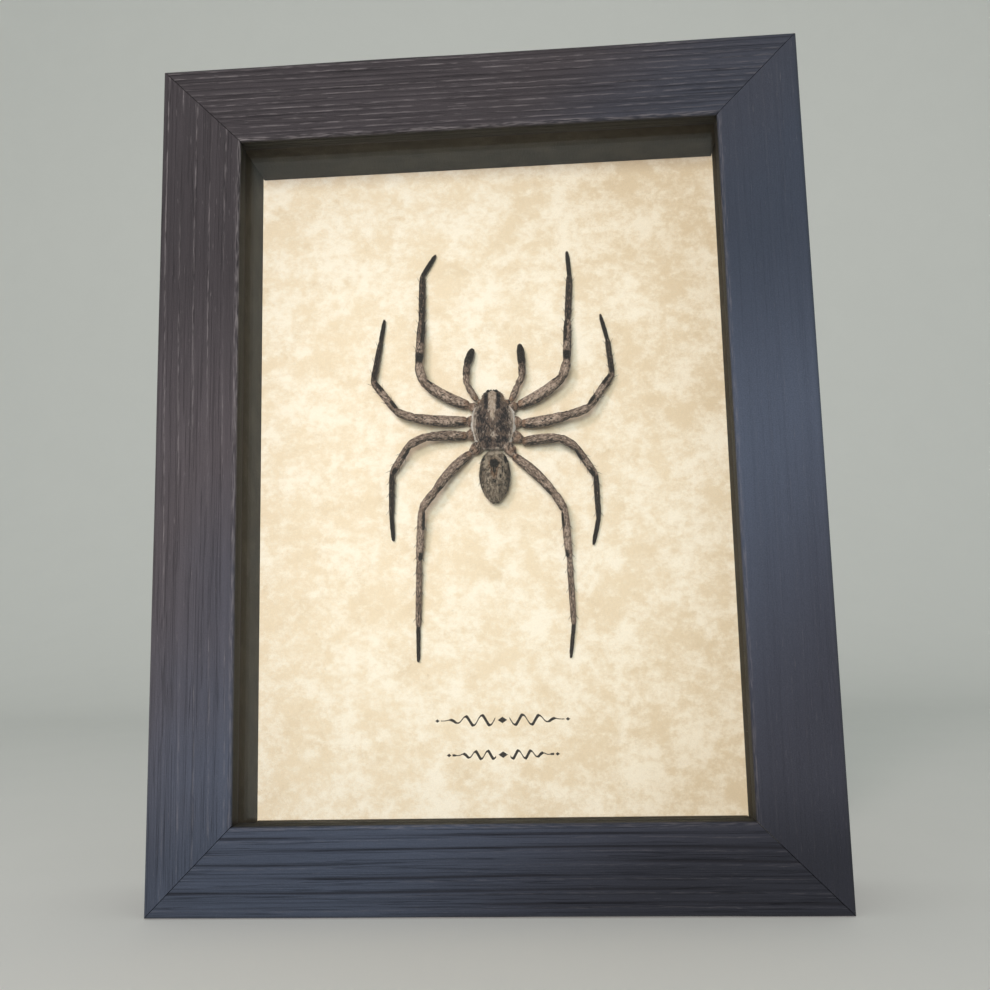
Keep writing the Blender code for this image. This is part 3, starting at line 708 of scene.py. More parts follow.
def growHair(name, skin, flow, finish, slot, kinds, seed, scale):
    random = np.random.default_rng(seed)
    mesh = skin.data
    corners = []
    for face in mesh.polygons:
        ring = list(face.vertices)
        first = ring.index(min(ring))
        ring = ring[first:] + ring[:first]
        corners += [(ring[0], b, c) for b, c in zip(ring[1:], ring[2:])]
    corners = np.array(sorted(corners))  # Blender's own order of faces differs from run to run
    points, normals = pointsOf(skin), normalsOf(skin)
    a, b, c = (points[corners[:, i]] for i in range(3))
    areas = np.linalg.norm(np.cross(b - a, c - a), axis=1) / 2
    marks = {}
    for key in markNames:
        marks[key] = np.zeros(len(points))
        mesh.attributes[key].data.foreach_get("value", marks[key])
    marks["route"] = rowsOf(mesh.attributes["route"].data, "vector")
    numbers = {key: [] for key in (*marks, "strand")}
    vertices, faces, offset = [], [], 0
    for kind in kinds:
        look = hairKinds[kind]
        count = int(areas.sum() * look["perArea"])
        chosen = random.choice(len(areas), size=count, p=areas / areas.sum())
        u, v = random.random(count), random.random(count)
        over = u + v > 1
        u, v = np.where(over, 1 - u, u), np.where(over, 1 - v, v)
        weights = np.stack([1 - u - v, u, v], axis=1)[:, :, None]
        trio = corners[chosen]
        root = (points[trio] * weights).sum(1)
        normal = unit((normals[trio] * weights).sum(1))
        along = (flow[trio] * weights).sum(1)
        along = unit(along - normal * (along * normal).sum(1, keepdims=True))
        sideways = np.cross(normal, along)
        lift = np.radians(look["lift"]) * random.uniform(0.5, 1.5, count)[:, None]
        stray = random.normal(0, look["stray"], count)[:, None]
        heading = unit(along * np.cos(lift) + normal * np.sin(lift) + sideways * stray)
        length = look["length"] * scale * random.uniform(0.6, 1.3, count)[:, None]
        middle = root + heading * length * hairShape["bend"]
        onward = unit(heading + along * 0.35 - normal * hairShape["droop"])
        tip = middle + onward * length * (1 - hairShape["bend"])
        sunk = root - normal * hairShape["sunk"]
        thick = look["thick"] * random.uniform(0.7, 1.2, count)[:, None]
        second = unit(np.cross(heading, sideways))
        rings = []
        for base, width in ((sunk, thick), (middle, thick * hairShape["taper"])):
            for turn in (0, 1, 2):
                angle = turn * 2 * math.pi / 3
                rings.append(base + (sideways * math.cos(angle) + second * math.sin(angle)) * width)
        rings.append(tip)
        hair = np.stack(rings, axis=1)
        hair[:, :, 2] = np.maximum(hair[:, :, 2], hairShape["clearance"])
        vertices.append(hair.reshape(-1, 3))
        pattern = [(2, 1, 0)]
        for i in range(3):
            j = (i + 1) % 3
            pattern += [(i, j, j + 3), (i, j + 3, i + 3), (i + 3, j + 3, 6)]
        base = offset + np.arange(count)[:, None, None] * 7
        faces.append((base + np.array(pattern)[None]).reshape(-1, 3))
        offset += count * 7
        for key, values in marks.items():
            share = weights if values.ndim > 1 else weights[:, :, 0]
            numbers[key].append(np.repeat((values[trio] * share).sum(1), 7, axis=0))
        numbers["strand"].append(np.repeat(random.random(count), 7))
    mesh = bpy.data.meshes.new(name)
    mesh.from_pydata(planToFrame(np.concatenate(vertices)), [], np.concatenate(faces))
    hairs = bpy.data.objects.new(name, mesh)
    bpy.context.scene.collection.objects.link(hairs)
    for key, values in numbers.items():
        mark(mesh, key, np.concatenate(values))
    placePiece(hairs, finish, slot)


# Legs and palps. A bearing is clockwise from straight ahead, and lengths are in millimetres.

limbShape = {
    "radii": {
        1: [1.60, 1.30, 1.14, 0.94, 0.64],
        2: [1.55, 1.20, 1.06, 0.78, 0.58],
        3: [1.42, 1.18, 1.02, 0.78, 0.62],
        4: [1.40, 1.15, 1.06, 0.82, 0.54],
        "palp": [0.95, 0.92, 1.02, 1.10],
    },
    "heights": {"leg": [2.6, 5, 4.6, 2.4, 1.25, 0.85], "palp": [2.9, 3.5, 3.5, 2.9, 1.7]},
    "femur": [(0, 0.78), (0.10, 0.90), (0.35, 1.00), (0.70, 0.92), (0.92, 0.88), (1.00, 0.72)],
    "shank": [(0, 0.80), (0.15, 1.00), (0.50, 0.98), (0.88, 0.97), (1.00, 0.82)],
    "foot": [(0, 0.92), (0.20, 1.00), (0.60, 0.98), (0.90, 0.88), (1.00, 0.50)],
    "jointBend": 14,
    "jointSoftness": 0.45,
    "crease": 0.13,  # how much thinner the skin is at a joint
    "furDepth": 0.03,
    "paleness": 0.62,
    "faces": {"leg": (26, 220), "palp": (22, 110)},
}

legRoutes = {
    "leg_left_1": ((-7.4, 6.2), [(13.3, -61), (5.2, -14), (12.9, 3), (13.5, 1), (7, 31)], 26),
    "leg_right_1": ((7.7, 5.7), [(13.4, 60), (4.7, 17), (12.2, 3), (13.1, 4), (7.1, -4)], -26),
    "leg_left_2": ((-8, 1.6), [(13.8, -86), (5.1, -68), (11.5, -37), (11.9, 10), (6.2, 9)], 14),
    "leg_right_2": ((8.5, 0.3), [(12.3, 83), (5.8, 71), (11.7, 35), (10, -5), (7.4, -13)], -14),
    "leg_left_3": ((-8, -2.6), [(10.4, -92), (5.3, -114), (8.8, -145), (11.5, -178), (6.6, -183)], -10),
    "leg_right_3": ((8.4, -4.7), [(9.7, 89), (5.1, 122), (8.9, 146), (11.5, 178), (7, 193)], 10),
    "leg_left_4": ((-6.9, -7.8), [(14, -138), (5.9, -142), (13.6, -175), (17.9, -178), (9.1, -179)], -20),
    "leg_right_4": ((5.8, -9), [(14.8, 136), (5.3, 150), (12.4, 176), (17.8, 178), (8.7, 187)], 16),
}
palpRoutes = {
    "palp_left": ((-4.6, 7.5), [(4.8, -30), (2.3, -6), (3.6, 4), (4.4, 18)], 8),
    "palp_right": ((5.1, 7), [(4.5, 24), (2.5, 30), (3.5, 1), (5.7, -5)], -8),
}

# Markings of a limb: segment, from, to, middle angle, half width in degrees, strength.
# Angles go round the leg from its inner side (0) over the top (90) to its outer side (180).
legMarks = {
    1: {"dark": [(2, 0.02, 0.22, 60, 85, 1), (2, 0.46, 1, 15, 70, 0.9), (0, 0.80, 0.96, 20, 42, 0.9),
                 (0, 0, 0.20, 150, 22, 0.7)],
        "pale": [(0, 0, 0.80, 75, 62, 0.9), (1, 0, 1, 70, 60, 0.8), (2, 0.24, 0.45, 80, 110, 0.8),
                 (2, 0.45, 1, 130, 40, 0.5)]},
    2: {"dark": [(2, 0.05, 0.28, 30, 60, 1), (2, 0.62, 0.92, 30, 62, 0.95), (0, 0.84, 0.96, 15, 40, 0.9),
                 (0, 0, 0.18, 140, 26, 0.7)],
        "pale": [(0, 0, 0.86, 70, 60, 0.8), (1, 0.1, 0.9, 70, 60, 0.7), (2, 0.30, 0.62, 80, 100, 0.8)]},
    3: {"dark": [(2, 0.04, 0.40, 10, 62, 1), (2, 0.76, 1, 20, 80, 1), (0, 0.05, 0.45, 30, 24, 0.6),
                 (0, 0.86, 0.97, 5, 45, 0.9)],
        "pale": [(0, 0.1, 0.9, 100, 60, 0.55), (1, 0.1, 0.9, 100, 70, 0.5), (2, 0.40, 0.74, 90, 110, 0.7)]},
    4: {"dark": [(2, 0.03, 0.36, 10, 58, 0.95), (2, 0.84, 1, 20, 75, 0.9), (0, 0.84, 0.98, 10, 60, 0.8),
                 (0, 0, 0.08, 120, 50, 0.45)],
        "pale": [(0, 0.1, 0.85, 95, 62, 0.6), (1, 0.1, 0.9, 95, 70, 0.6), (2, 0.38, 0.82, 95, 110, 0.8),
                 (3, 0.02, 0.5, 95, 90, 0.35)]},
    "palp": {"dark": [(3, 0, 1, 90, 180, 1), (2, 0.55, 1, 60, 60, 0.5)],
             "pale": [(0, 0.1, 0.9, 100, 70, 0.6), (1, 0.1, 0.9, 90, 70, 0.5), (2, 0.1, 0.6, 90, 70, 0.4)]},
}
segmentTone = {  # dark and pale of whole segments, femur to tarsus
    1: [(0.22, 0.50), (0.22, 0.50), (0.34, 0.34), (0.66, 0.06), (1, 0)],
    2: [(0.24, 0.45), (0.24, 0.45), (0.30, 0.35), (0.72, 0), (1, 0)],
    3: [(0.28, 0.45), (0.28, 0.45), (0.30, 0.35), (0.75, 0), (1.1, 0)],
    4: [(0.23, 0.50), (0.22, 0.50), (0.19, 0.64), (0.34, 0.40), (0.85, 0)],
    "palp": [(0.22, 0.50), (0.24, 0.45), (0.38, 0.25), (0.95, 0)],
}
spines = {"places": [(2, (0.30, 0.66, 0.92), 1.5), (3, (0.16, 0.45, 0.86), 1.4)], "thick": 0.085, "lean": 32}


def limbRoute(start, spans, curl, radii, heights, shape=limbShape):
    # The middle line in steps of a tenth of a millimetre, with the radius, segment and part of it at each
    total = sum(length for length, bearing in spans)
    count = int(total * 10)
    done = (np.arange(count) + 0.5) / count * total
    ends = np.cumsum([0] + [length for length, bearing in spans])
    segment = np.clip(np.searchsorted(ends, done, side="right") - 1, 0, len(spans) - 1)
    part = (done - ends[segment]) / (ends[segment + 1] - ends[segment])
    heading, radius, slope = np.zeros(count), np.zeros(count), np.zeros(count)
    for number, (length, bearing) in enumerate(spans):
        here = segment == number
        bend = curl if number == 0 else math.copysign(shape["jointBend"], curl) if number == 1 else 0
        kind = "femur" if number == 0 else "foot" if number == len(spans) - 1 else "shank"
        heading[here] = np.radians(bearing + bend * (part[here] - 0.5))
        places, sizes = zip(*shape[kind])
        radius[here] = np.interp(part[here], places, sizes) * radii[number]
        slope[here] = (heights[number + 1] - heights[number]) / length
    soft = shape["jointSoftness"] * 10
    kernel = np.exp(-0.5 * (np.arange(-15, 16) / soft) ** 2)
    kernel /= kernel.sum()

    def smoothed(values):
        return np.convolve(np.pad(values, 15, mode="edge"), kernel, mode="valid")

    heading, slope = smoothed(heading), smoothed(slope)
    stepLength = total / count
    direction = np.stack([np.sin(heading), np.cos(heading), slope], axis=1)
    line = np.array([start[0], start[1], heights[0]]) + np.cumsum(direction, axis=0) * stepLength
    radius = smoothed(radius)
    for end in ends[1:-1]:
        radius *= 1 - shape["crease"] * np.exp(-((done - end) / 0.22) ** 2)
    return line, unit(direction), radius, segment, part, done, total


def pairOf(name):
    return "palp" if name.startswith("palp") else int(name[-1])


def fromAngle(degrees, middle):  # how far apart two angles are, whichever way round
    return np.abs((degrees - middle + 180) % 360 - 180)


def makeLimb(name, route, finish, hairFinish, seed):
    start, spans, curl = route
    pair = pairOf(name)
    sort = "palp" if pair == "palp" else "leg"
    radii, heights = limbShape["radii"][pair], limbShape["heights"][sort]
    line, direction, radius, segment, part, done, total = limbRoute(start, spans, curl, radii, heights)
    piece, sphere = roundStart("skin_" + name, limbShape["faces"][sort])
    turn = np.arctan2(sphere[:, 1], sphere[:, 0])
    place = np.arccos(np.clip(sphere[:, 2], -1, 1)) / math.pi
    cap = 0.035  # share of the rings that closes an end
    far = np.clip((place - cap) / (1 - 2 * cap), 0, 1) * total
    index = np.clip((far / total * len(line)).astype(int), 0, len(line) - 1)
    centre = np.stack([np.interp(far, done, line[:, i]) for i in range(3)], axis=1)
    ahead = unit(np.stack([np.interp(far, done, direction[:, i]) for i in range(3)], axis=1))
    size = np.interp(far, done, radius) - limbShape["furDepth"]
    # Round ends: the last rings close in as a half ball
    startCap = np.clip(1 - place / cap, 0, 1)
    endCap = np.clip(1 - (1 - place) / cap, 0, 1)
    closing = np.maximum(startCap, endCap) * math.pi / 2
    lengthening = (np.sin(closing) * size * 0.8) * np.where(endCap > 0, 1, -1)
    centre = centre + ahead * lengthening[:, None] * (closing > 0)[:, None]
    size = size * np.cos(closing)
    rear = np.stack([ahead[:, 1], -ahead[:, 0], np.zeros(len(ahead))], axis=1) * (-1 if start[0] < 0 else 1)
    inward = unit(-rear if pair in (1, 2) else rear)
    up = np.cross(ahead, inward)
    up = up * np.sign(up[:, 2:3])
    angle = turn * np.sign((np.cross(inward, up) * ahead).sum(1)).mean()
    around = inward * np.cos(angle)[:, None] + up * np.sin(angle)[:, None]
    setPoints(piece, centre + around * size[:, None])
    segmentHere, partHere = segment[index], part[index]
    degrees = np.degrees(angle) % 360
    marks = limbMarks(pair, segmentHere, partHere, degrees)
    under = step(-np.sin(angle), 0.2, 0.9)
    marks["warm"] = np.maximum(under * 0.6, (1 - step(far, 0.2, 1.2)) * 0.7)
    marks["route"] = np.stack([np.cos(angle) * 1.4, np.sin(angle) * 1.4, far * 0.55 + seed * 3], axis=1)
    for key, values in marks.items():
        mark(piece.data, key, values)
    for number in range(1, len(spans)):
        knuckles(piece, segmentHere, partHere, degrees, number)
    lumps(piece, 0.9, 0.09, seed=seed)
    piece.data.shade_smooth()
    growHair("hair_" + name, piece, ahead, hairFinish, "leg", ("nap", "bristle"), seed, 0.9)
    if sort == "leg":
        addSpines(piece, line, direction, radius, segment, part)
    finishSkin(piece, finish, "leg", name)


def limbMarks(pair, segment, part, degrees):
    tone = np.array(segmentTone[pair])
    dark, pale = tone[segment, 0], tone[segment, 1]
    away = fromAngle(degrees, 180 if pair in (1, 2) else 0)
    # darker along the rear and front sides of femur, patella and tibia: partly the leg's own marking, partly
    # painted shade
    rimMarkAndShade = 0.30 * (1 - step(away, 20, 75)) + 0.22 * step(away, 140, 178)
    dark = dark + rimMarkAndShade * (segment <= 2)
    soft = 0.025
    for kind in ("dark", "pale"):
        for where, low, high, middle, half, strength in legMarks[pair][kind]:
            here = (segment == where) * between(part, low - soft, low + soft, high - soft, high + soft)
            here = here * (1 - step(fromAngle(degrees, middle), half * 0.75, half * 1.15)) * strength
            if kind == "dark":
                dark = np.maximum(dark, here)
                pale = pale * (1 - here)
            else:
                pale = np.maximum(pale, here)
    return {"dark": dark, "pale": pale * limbShape["paleness"]}


def knuckles(piece, segment, part, degrees, number):  # two, on either side of a segment's far end
    swell = sum(np.exp(-(fromAngle(degrees, middle) / 32) ** 2) for middle in (20, 160))
    here = (segment == number - 1) * np.exp(-((part - 0.90) / 0.06) ** 2)
    push(piece, here * swell * (0.24 if number == 1 else 0.10))


def addSpines(piece, line, direction, radius, segment, part):
    sheet = bmesh.new()
    sheet.from_mesh(piece.data)
    dark = sheet.verts.layers.float["dark"]
    lean = math.radians(spines["lean"])
    for where, places, length in spines["places"]:
        for place in places:
            index = int(np.argmin(np.abs(part - place) + (segment != where) * 9))
            ahead = Vector(direction[index])
            across = ahead.cross(Vector((0, 0, 1))).normalized()
            size = length + radius[index] * 0.4
            for side in (-1, 1):
                heading = ahead * math.cos(lean) + across * side * math.sin(lean) + Vector((0, 0, 0.18))
                base = Vector(line[index]) + across * side * radius[index] * 0.7
                made = bmesh.ops.create_cone(sheet, cap_ends=True, segments=7, radius1=spines["thick"],
                                             radius2=spines["thick"] / 6, depth=size)["verts"]
                turn = heading.to_track_quat("Z", "Y").to_matrix()
                for vert in made:
                    vert.co = base + turn @ (vert.co + Vector((0, 0, size / 2)))
                    vert[dark] = 0.85
    sheet.to_mesh(piece.data)
    sheet.free()


def finishSkin(piece, finish, slot, *replaced):
    setPoints(piece, planToFrame(pointsOf(piece)))
    placePiece(piece, finish, slot, *replaced)


# The body

carapace = {
    "front": 9.6, "length": 16.4, "blunt": 0.50, "edge": 3.1,
    "stations": [(0.00, 4.2, 6.6, 2.9), (0.12, 3.8, 7, 2.9), (0.19, 3.8, 7.2, 2.6), (0.30, 5.5, 7.2, 0.8),
                 (0.43, 6.1, 7.1, 0.6), (0.60, 6.3, 6.8, 0.6), (0.77, 6.3, 6.1, 0.8), (0.90, 5.9, 5.2, 1.3),
                 (1.00, 5.2, 4.5, 1.8)],
    "coxaHubs": {1: (3.4, 4.4), 2: (3.8, 1.2), 3: (3.8, -2), 4: (3, -4.6), "palp": (2, 5.4)},
    "coxaRadii": {1: 1.38, 2: 1.70, 3: 1.70, 4: 1.66, "palp": 0.92},
    "coxaHeight": 2.6,
    "waist": [(0, -5.9, 3.1), (1.1, 0.9, 1.1)],  # its place and radii
    "eyes": [(1.05, 9.10, 0.52), (1.75, 7.75, 0.46), (0.38, 9.44, 0.26), (0.98, 9.40, 0.24)],
    "dents": [(0, -2.6, 0.35, 1.3, -0.38)] + mirrored(
        (1.6, 5, 0.5, 1.6, -0.14), (3.2, 3.6, 0.5, 1.2, -0.22), (2.2, 1.8, 0.9, 0.32, -0.17),
        (3, -0.4, 0.9, 0.32, -0.17), (3, -2.8, 0.9, 0.32, -0.17), (2.2, -4.8, 0.9, 0.32, -0.17)),
    "darkSpots": mirrored(
        (2.5, 2.3, 0.9, 0.8, 0.60), (2.9, -1.2, 1.2, 0.9, 0.66), (1.7, -4.3, 1, 1.2, 0.68)),
    "paleSpots": [(0, -2.9, 0.8, 1, 0.45), (-0.6, -6.6, 0.8, 0.3, 0.6), (1, -6.5, 0.8, 0.3, 0.6)],
}
abdomen = {
    "x": 0.1, "front": -7.2, "length": 14.2, "blunt": 0.66, "edge": 3.5,
    "stations": [(0.00, 4.1, 6, 1.2), (0.12, 4.3, 6.6, 0.7), (0.35, 4.3, 7, 0.5), (0.60, 4.2, 6.8, 0.6),
                 (0.80, 3.8, 6.3, 0.9), (1.00, 2.9, 5.6, 1.4)],
    "spinnerets": [((-0.45, -20.55, 2.4), (0.55, 0.85, 0.55)), ((0.65, -20.55, 2.4), (0.55, 0.85, 0.55))],
    "dents": [(0.1, -9.6, 0.4, 0.9, -0.12), (-1.2, -12.2, 0.3, 0.3, -0.12), (1.4, -12.2, 0.3, 0.3, -0.12),
              (-1, -15, 0.3, 0.3, -0.10), (1.2, -15, 0.3, 0.3, -0.10)],
    "heart": [(0.1, -11.1, 1.3, 1.45, 1), (0.1, -12.9, 0.6, 0.9, 0.7)],
    "darkSpots": [(0, -15.9, 0.5, 0.45, 0.9), (-2.9, -9, 0.5, 1.4, 1), (3.1, -9.5, 0.5, 1.4, 1),
                  (-2.2, -13, 0.5, 0.9, 0.6), (2.3, -12.6, 0.5, 0.9, 0.6)] + mirrored(
        (1.5, -14.2, 0.5, 0.5, 0.55), (1.2, -17.2, 0.45, 0.45, 0.55)),
    "paleSpots": [(-2.2, -10.6, 0.6, 2, 0.55), (2.2, -10.8, 0.6, 2, 0.55), (-0.7, -8.1, 0.9, 0.6, 1.2),
                  (1, -7.9, 0.9, 0.6, 1.2)] + mirrored((1.9, -15.4, 0.7, 0.6, 0.5)),
    "warmSpots": [(0.1, -13.2, 0.9, 1.9, 0.9), (0.1, -11.2, 1.7, 1.8, 0.7)],
    "chevrons": (-14, -15.9, -17.7, -19.2),
}
chelicera = {
    "x": 1.35, "front": 9.6, "length": 3.6, "blunt": 0.6, "edge": 1.6,
    "stations": [(0, 1.1, 2.5, 0.6), (0.4, 1.15, 2.4, 0.5), (1, 1, 2, 0.7)],
}


def carapaceMarks(points):
    across, along = points[:, 0], points[:, 1]
    side = np.abs(across)
    place = (carapace["front"] - along) / carapace["length"]
    halfWidth, top, under = eased(place, carapace["stations"])
    swell = np.sqrt(np.clip(1 - (1 - 2 * np.clip(place, 0, 1)) ** 2, 0, 1)) ** carapace["blunt"]
    rim = side / np.maximum(halfWidth * swell, 0.1)
    stripe = np.interp(along, [-1, 1, 3, 5, 9.2], [0.20, 0.38, 0.66, 0.95, 1.02])
    median = (1 - step(side, stripe * 0.75, stripe * 1.25)) * step(along, -0.6, 2)
    band = between(rim, 0.66, 0.76, 0.88, 0.92) * step(-along, -5.5, -3.5)
    margin = between(rim, 0.865, 0.89, 0.965, 0.99) * step(-along, -5.6, -4.6)
    rays = 0.5 + 0.5 * np.cos(np.arctan2(side, along + 2.6) * 9 + 0.6)
    radial = step(np.hypot(across, along + 2.6), 0.9, 2.4) * (1 - step(rim, 0.72, 0.80)) * (along < 4.5)
    bars = (1 - step(np.abs(side - 1.70), 0.35, 0.65)) * between(along, 3, 4.4, 8.4, 9)
    dark = strongest(0.27 + radial * rays * 0.42, bars * 0.95, spots(points, carapace["darkSpots"]))
    ring = np.exp(-((np.hypot(across, along + 2.9) - 0.55) / 0.2) ** 2)
    pale = strongest(median * 0.75, margin * 1.9, band * 0.40, ring * 0.7,
                     spots(points, carapace["paleSpots"]))
    headSide = step(side, 2.3, 2.9) * step(along, 5.8, 6.8)
    warm = np.maximum(headSide * 0.8, median * 0.45)
    dark = dark * (1 - np.clip(pale * 1.1, 0, 1)) * (1 - headSide * 0.7)
    return np.maximum(dark, band * 0.22) - margin * 0.8 - median * 0.2, pale, warm


def abdomenMarks(points):
    points = points - (abdomen["x"], 0, 0)
    side, along = np.abs(points[:, 0]), points[:, 1]
    edge = step(side, 2.6, 4)
    chevrons = strongest(*(np.exp(-((along - middle + side * 0.45) / 0.28) ** 2)
                           for middle in abdomen["chevrons"]))
    chevrons = chevrons * (1 - step(side, 1.9, 2.6))
    dark = strongest(spots(points, abdomen["heart"]), spots(points, abdomen["darkSpots"]), chevrons * 0.42,
                     edge * 0.35 + 0.24)
    pale = np.maximum(spots(points, abdomen["paleSpots"]), 0.26 * (1 - edge))
    return dark, pale, spots(points, abdomen["warmSpots"])


def backward(piece):  # hair lies towards the rear and spreads a little from the middle line
    points = pointsOf(piece)
    return unit(np.stack([points[:, 0] * 0.10, np.full(len(points), -1), np.zeros(len(points))], axis=1))


def setMarks(piece, dark, pale, warm):
    route = pointsOf(piece) * (1, 0.48, 0.8)
    for key, values in (("dark", dark), ("pale", pale), ("warm", warm), ("route", route)):
        mark(piece.data, key, values)


def makeCoxa(start, hub, radius, height):
    start, hub = Vector(start), Vector(hub)
    heading = (start - hub).normalized()
    length = (start - hub).length - 0.3
    ends = [(size, height + size, height - size) for size in (radius, radius, radius * 0.65)]
    form = {"front": 0, "length": length, "blunt": 0.5, "edge": height,
            "stations": [(place, *end) for place, end in zip((0, 0.6, 1), ends)]}
    piece = grownForm("coxa", form, (24, 18))
    lumps(piece, 0.8, 0.10, seed=start.x)
    spin = np.array(Matrix.Rotation(math.atan2(heading.x, -heading.y), 3, "Z"))
    points = pointsOf(piece) @ spin.T + np.array([hub.x, hub.y, 0])
    setPoints(piece, points)
    part = np.hypot(points[:, 0] - hub.x, points[:, 1] - hub.y) / length
    membrane = between(part, 0.50, 0.60, 0.74, 0.84)
    setMarks(piece, 0.42 - membrane * 0.22, np.full(len(points), 0.32), membrane * 0.55)
    return piece


def headHeight(across, along):
    place = (carapace["front"] - along) / carapace["length"]
    halfWidth, top, under = [float(v) for v in eased(np.array([place]), carapace["stations"])]
    swell = math.sqrt(1 - (1 - 2 * place) ** 2) ** carapace["blunt"]
    side = min(1, across / (halfWidth * swell))
    return carapace["edge"] + math.sqrt(1 - side * side) * (top - carapace["edge"]) * swell


def makeEyes(finish):
    pieces = []
    for across, along, radius in carapace["eyes"]:
        height = headHeight(across, along) - 0.35 * radius
        pieces += [ball((side * across, along, height), [radius] * 3) for side in (-1, 1)]
    finishSkin(joined(pieces, "eyes"), finish, "jaw")


def buildSpider():
    (legSkin, legHair), (carapaceSkin, carapaceHair), (abdomenSkin, abdomenHair) = [
        (furFinish(part, False), furFinish(part, True)) for part in furColours]
    bothKinds = ("nap", "bristle")
    for routes, firstSeed in ((legRoutes, 11), (palpRoutes, 31)):
        for number, (name, route) in enumerate(routes.items()):
            makeLimb(name, route, legSkin, legHair, firstSeed + number)
    print("legs and palps grown")

    shield = grownForm("skin_cephalothorax", carapace, (96, 80))
    dents(shield, carapace["dents"])
    lumps(shield, 1.6, 0.10, seed=3)
    shield = joined([shield, ball(*carapace["waist"])], "skin_cephalothorax")
    setMarks(shield, *carapaceMarks(pointsOf(shield)))
    growHair("hair_cephalothorax", shield, backward(shield), carapaceHair, "carapace", bothKinds, 41, 0.8)
    coxae = []
    for name, (start, spans, curl) in {**legRoutes, **palpRoutes}.items():
        pair = pairOf(name)
        across, along = carapace["coxaHubs"][pair]
        height = limbShape["heights"]["palp"][0] if pair == "palp" else carapace["coxaHeight"]
        hub = (-across if start[0] < 0 else across, along)
        coxae.append(makeCoxa(start, hub, carapace["coxaRadii"][pair], height))
    coxa = joined(coxae, "skin_coxae")
    outward = unit(pointsOf(coxa) * (1, 0.5, 0))
    growHair("hair_coxae", coxa, outward, legHair, "leg", ("nap",), 43, 0.7)
    finishSkin(coxa, legSkin, "leg", "cephalothorax")
    finishSkin(shield, carapaceSkin, "carapace", "cephalothorax")

    belly = grownForm("skin_abdomen", abdomen, (96, 90), shift=(abdomen["x"], 0))
    dents(belly, abdomen["dents"])
    lumps(belly, 1.5, 0.16, seed=8)
    belly = joined([belly] + [ball(*form) for form in abdomen["spinnerets"]], "skin_abdomen")
    setMarks(belly, *abdomenMarks(pointsOf(belly)))
    growHair("hair_abdomen", belly, backward(belly), abdomenHair, "abdomen", bothKinds, 47, 0.85)
    finishSkin(belly, abdomenSkin, "abdomen", "abdomen")
    makeEyes(glossFinish("eyeGloss"))

    jawFinish = glossFinish("jawHorn")
    for name, side in (("chelicera_left", -1), ("chelicera_right", 1)):
        jaw = grownForm("horn_" + name, chelicera, (36, 28), shift=(side * chelicera["x"], 0))
        lumps(jaw, 0.9, 0.05, seed=side)
        count = len(jaw.data.vertices)
        setMarks(jaw, *(np.full(count, level) for level in (0.55, 0.25, 0.3)))
        forward = np.tile([0, 1, -0.3], (count, 1))
        growHair("hair_" + name, jaw, forward, legHair, "jaw", ("nap",), 53 + side, 0.8)
        finishSkin(jaw, jawFinish, "jaw", name)
    print("body grown")


# Stage, light and camera

studio = {
    "floor": (0.80, 0.79, 0.77),
    "wall": 1.4,  # how far behind the frame the floor turns up
    "ambient": (0.92, 1, 0.96),
    "ambientStrength": 0.42,
    "key": {"place": (-0.36, -0.95, 0.46), "size": 0.22, "power": 3.6, "colour": (1, 0.86, 0.86),
            "passes": ("rail_", "carved_rail", "spacer_", "glass", "floor")},
    "front": {"place": (-0.08, -1.35, 0.20), "size": 0.50, "power": 12.2, "colour": (0.95, 1, 0.95),
              "passes": ("rail_", "carved_rail", "spacer_l", "spacer_r", "spacer_b", "glass", "floor")},
}
photoView = {
    "place": (20.11, -263.39, 63.82),
    "ahead": (-0.0691, 0.9878, 0.1396),
    "up": (0.0324, -0.1376, 0.99),
    "lens": 36.88,
}


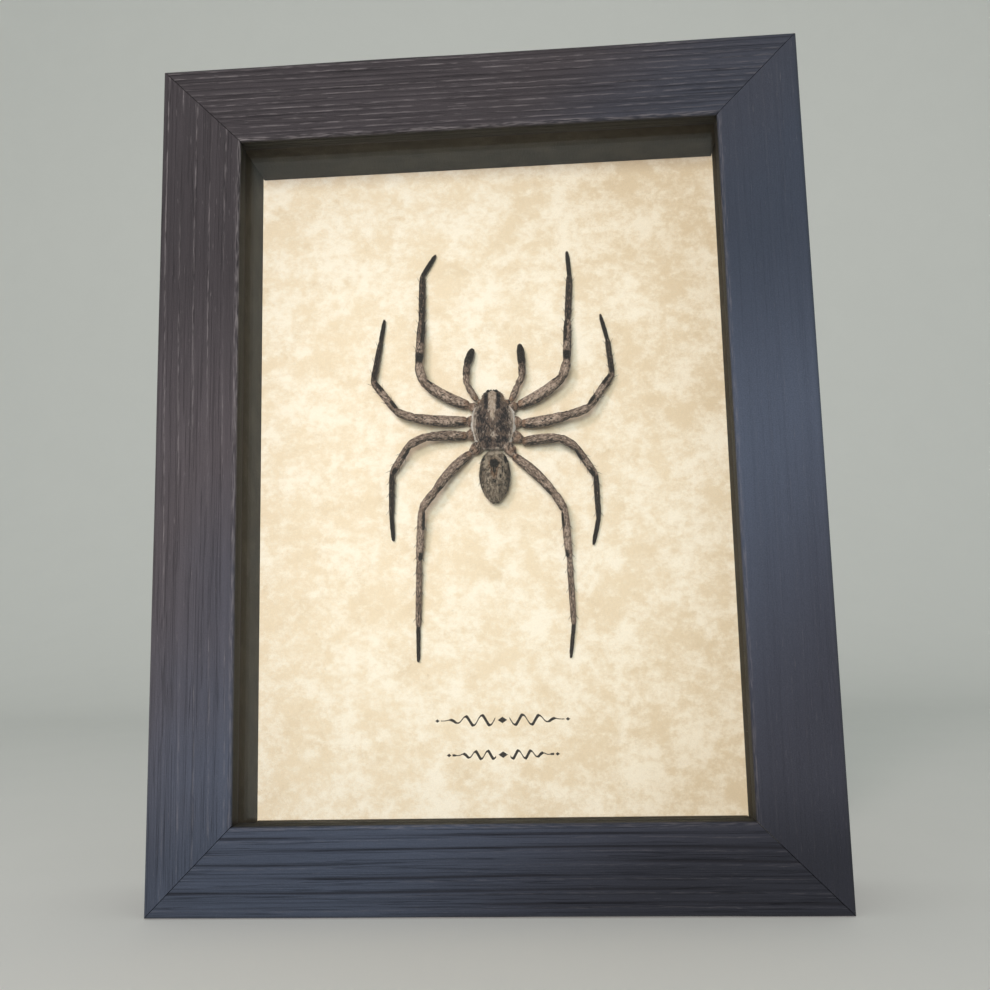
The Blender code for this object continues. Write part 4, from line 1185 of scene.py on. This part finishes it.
def buildStage():
    paper = Finish("studioPaper", {"Roughness": 0.9, "Specular IOR Level": 0.1})
    grain = paper.noise(paper.place, 0.02, 3)
    paperFinish = paper.finished(paper.scaled(studio["floor"], 0.985 + grain * 0.03))
    wall = studio["wall"]
    near = wall - 0.01
    select()
    bpy.ops.mesh.primitive_plane_add(size=6, location=(0, 0, 0))
    floor = bpy.context.object
    floor.name = "floor"
    bpy.ops.object.mode_set(mode="EDIT")
    bpy.ops.mesh.select_all(action="SELECT")
    bpy.ops.mesh.bisect(plane_co=(0, wall, 0), plane_no=(0, 1, 0), clear_outer=True)
    pick(floor, "EDGE", lambda e: all(v.co.y > near for v in e.verts))
    bpy.ops.mesh.extrude_region_move(TRANSFORM_OT_translate={"value": (0, 0, 3)})
    pick(floor, "EDGE", lambda e: all(v.co.y > near and v.co.z < 0.01 for v in e.verts))
    bpy.ops.mesh.bevel(offset=0.8, segments=24, affect="EDGES")
    bpy.ops.object.mode_set(mode="OBJECT")
    floor.data.shade_smooth()
    floor.data.materials.append(paperFinish)
    floor.visible_glossy = False  # the pane doesn't mirror the floor's far edge
    floor.visible_transmission = False

    world = bpy.data.worlds.new("studio")
    world.use_nodes = True
    sky = world.node_tree.nodes["Background"].inputs
    sky["Color"].default_value = (*studio["ambient"], 1)
    sky["Strength"].default_value = studio["ambientStrength"]
    bpy.context.scene.world = world
    target = Vector((0, 0, frameMiddle))
    for name in ("key", "front"):
        look = studio[name]
        lamp = bpy.data.lights.new(name, "AREA")
        lamp.shape = "DISK"
        lamp.size = look["size"]
        lamp.energy = look["power"]
        lamp.color = look["colour"]
        item = bpy.data.objects.new(name, lamp)
        bpy.context.scene.collection.objects.link(item)
        item.location = look["place"]
        item.rotation_euler = (target - Vector(look["place"])).to_track_quat("-Z", "Y").to_euler()
        item.visible_glossy = False  # no lamp is mirrored in the pane
        item.visible_transmission = False


def buildCamera():
    camera = bpy.data.cameras.new("camera")
    item = bpy.data.objects.new("camera", camera)
    bpy.context.scene.collection.objects.link(item)
    ahead = Vector(photoView["ahead"]).normalized()
    right = ahead.cross(Vector(photoView["up"])).normalized()
    up = right.cross(ahead)
    turn = Matrix((right, up, -ahead)).transposed()
    item.matrix_world = Matrix.Translation(Vector(photoView["place"]) * mm) @ turn.to_4x4()
    camera.lens = photoView["lens"]
    camera.sensor_width = 36
    camera.clip_start = 0.01
    bpy.context.scene.camera = item
    print("stage, light and camera set")


def throughFrame():  # the lamps are shaded by the spider, and not by the deep rails before it
    for name in ("key", "front"):
        blockers = bpy.data.collections.new(name + "Shades")
        for item in bpy.context.scene.objects:
            if item.type == "MESH" and not item.name.startswith(studio[name]["passes"]):
                blockers.objects.link(item)
        bpy.data.objects[name].light_linking.blocker_collection = blockers


buildFrame()
buildSpider()
buildStage()
throughFrame()
buildCamera()
bpy.context.scene.view_settings.view_transform = "Standard"
bpy.context.view_layer.update()
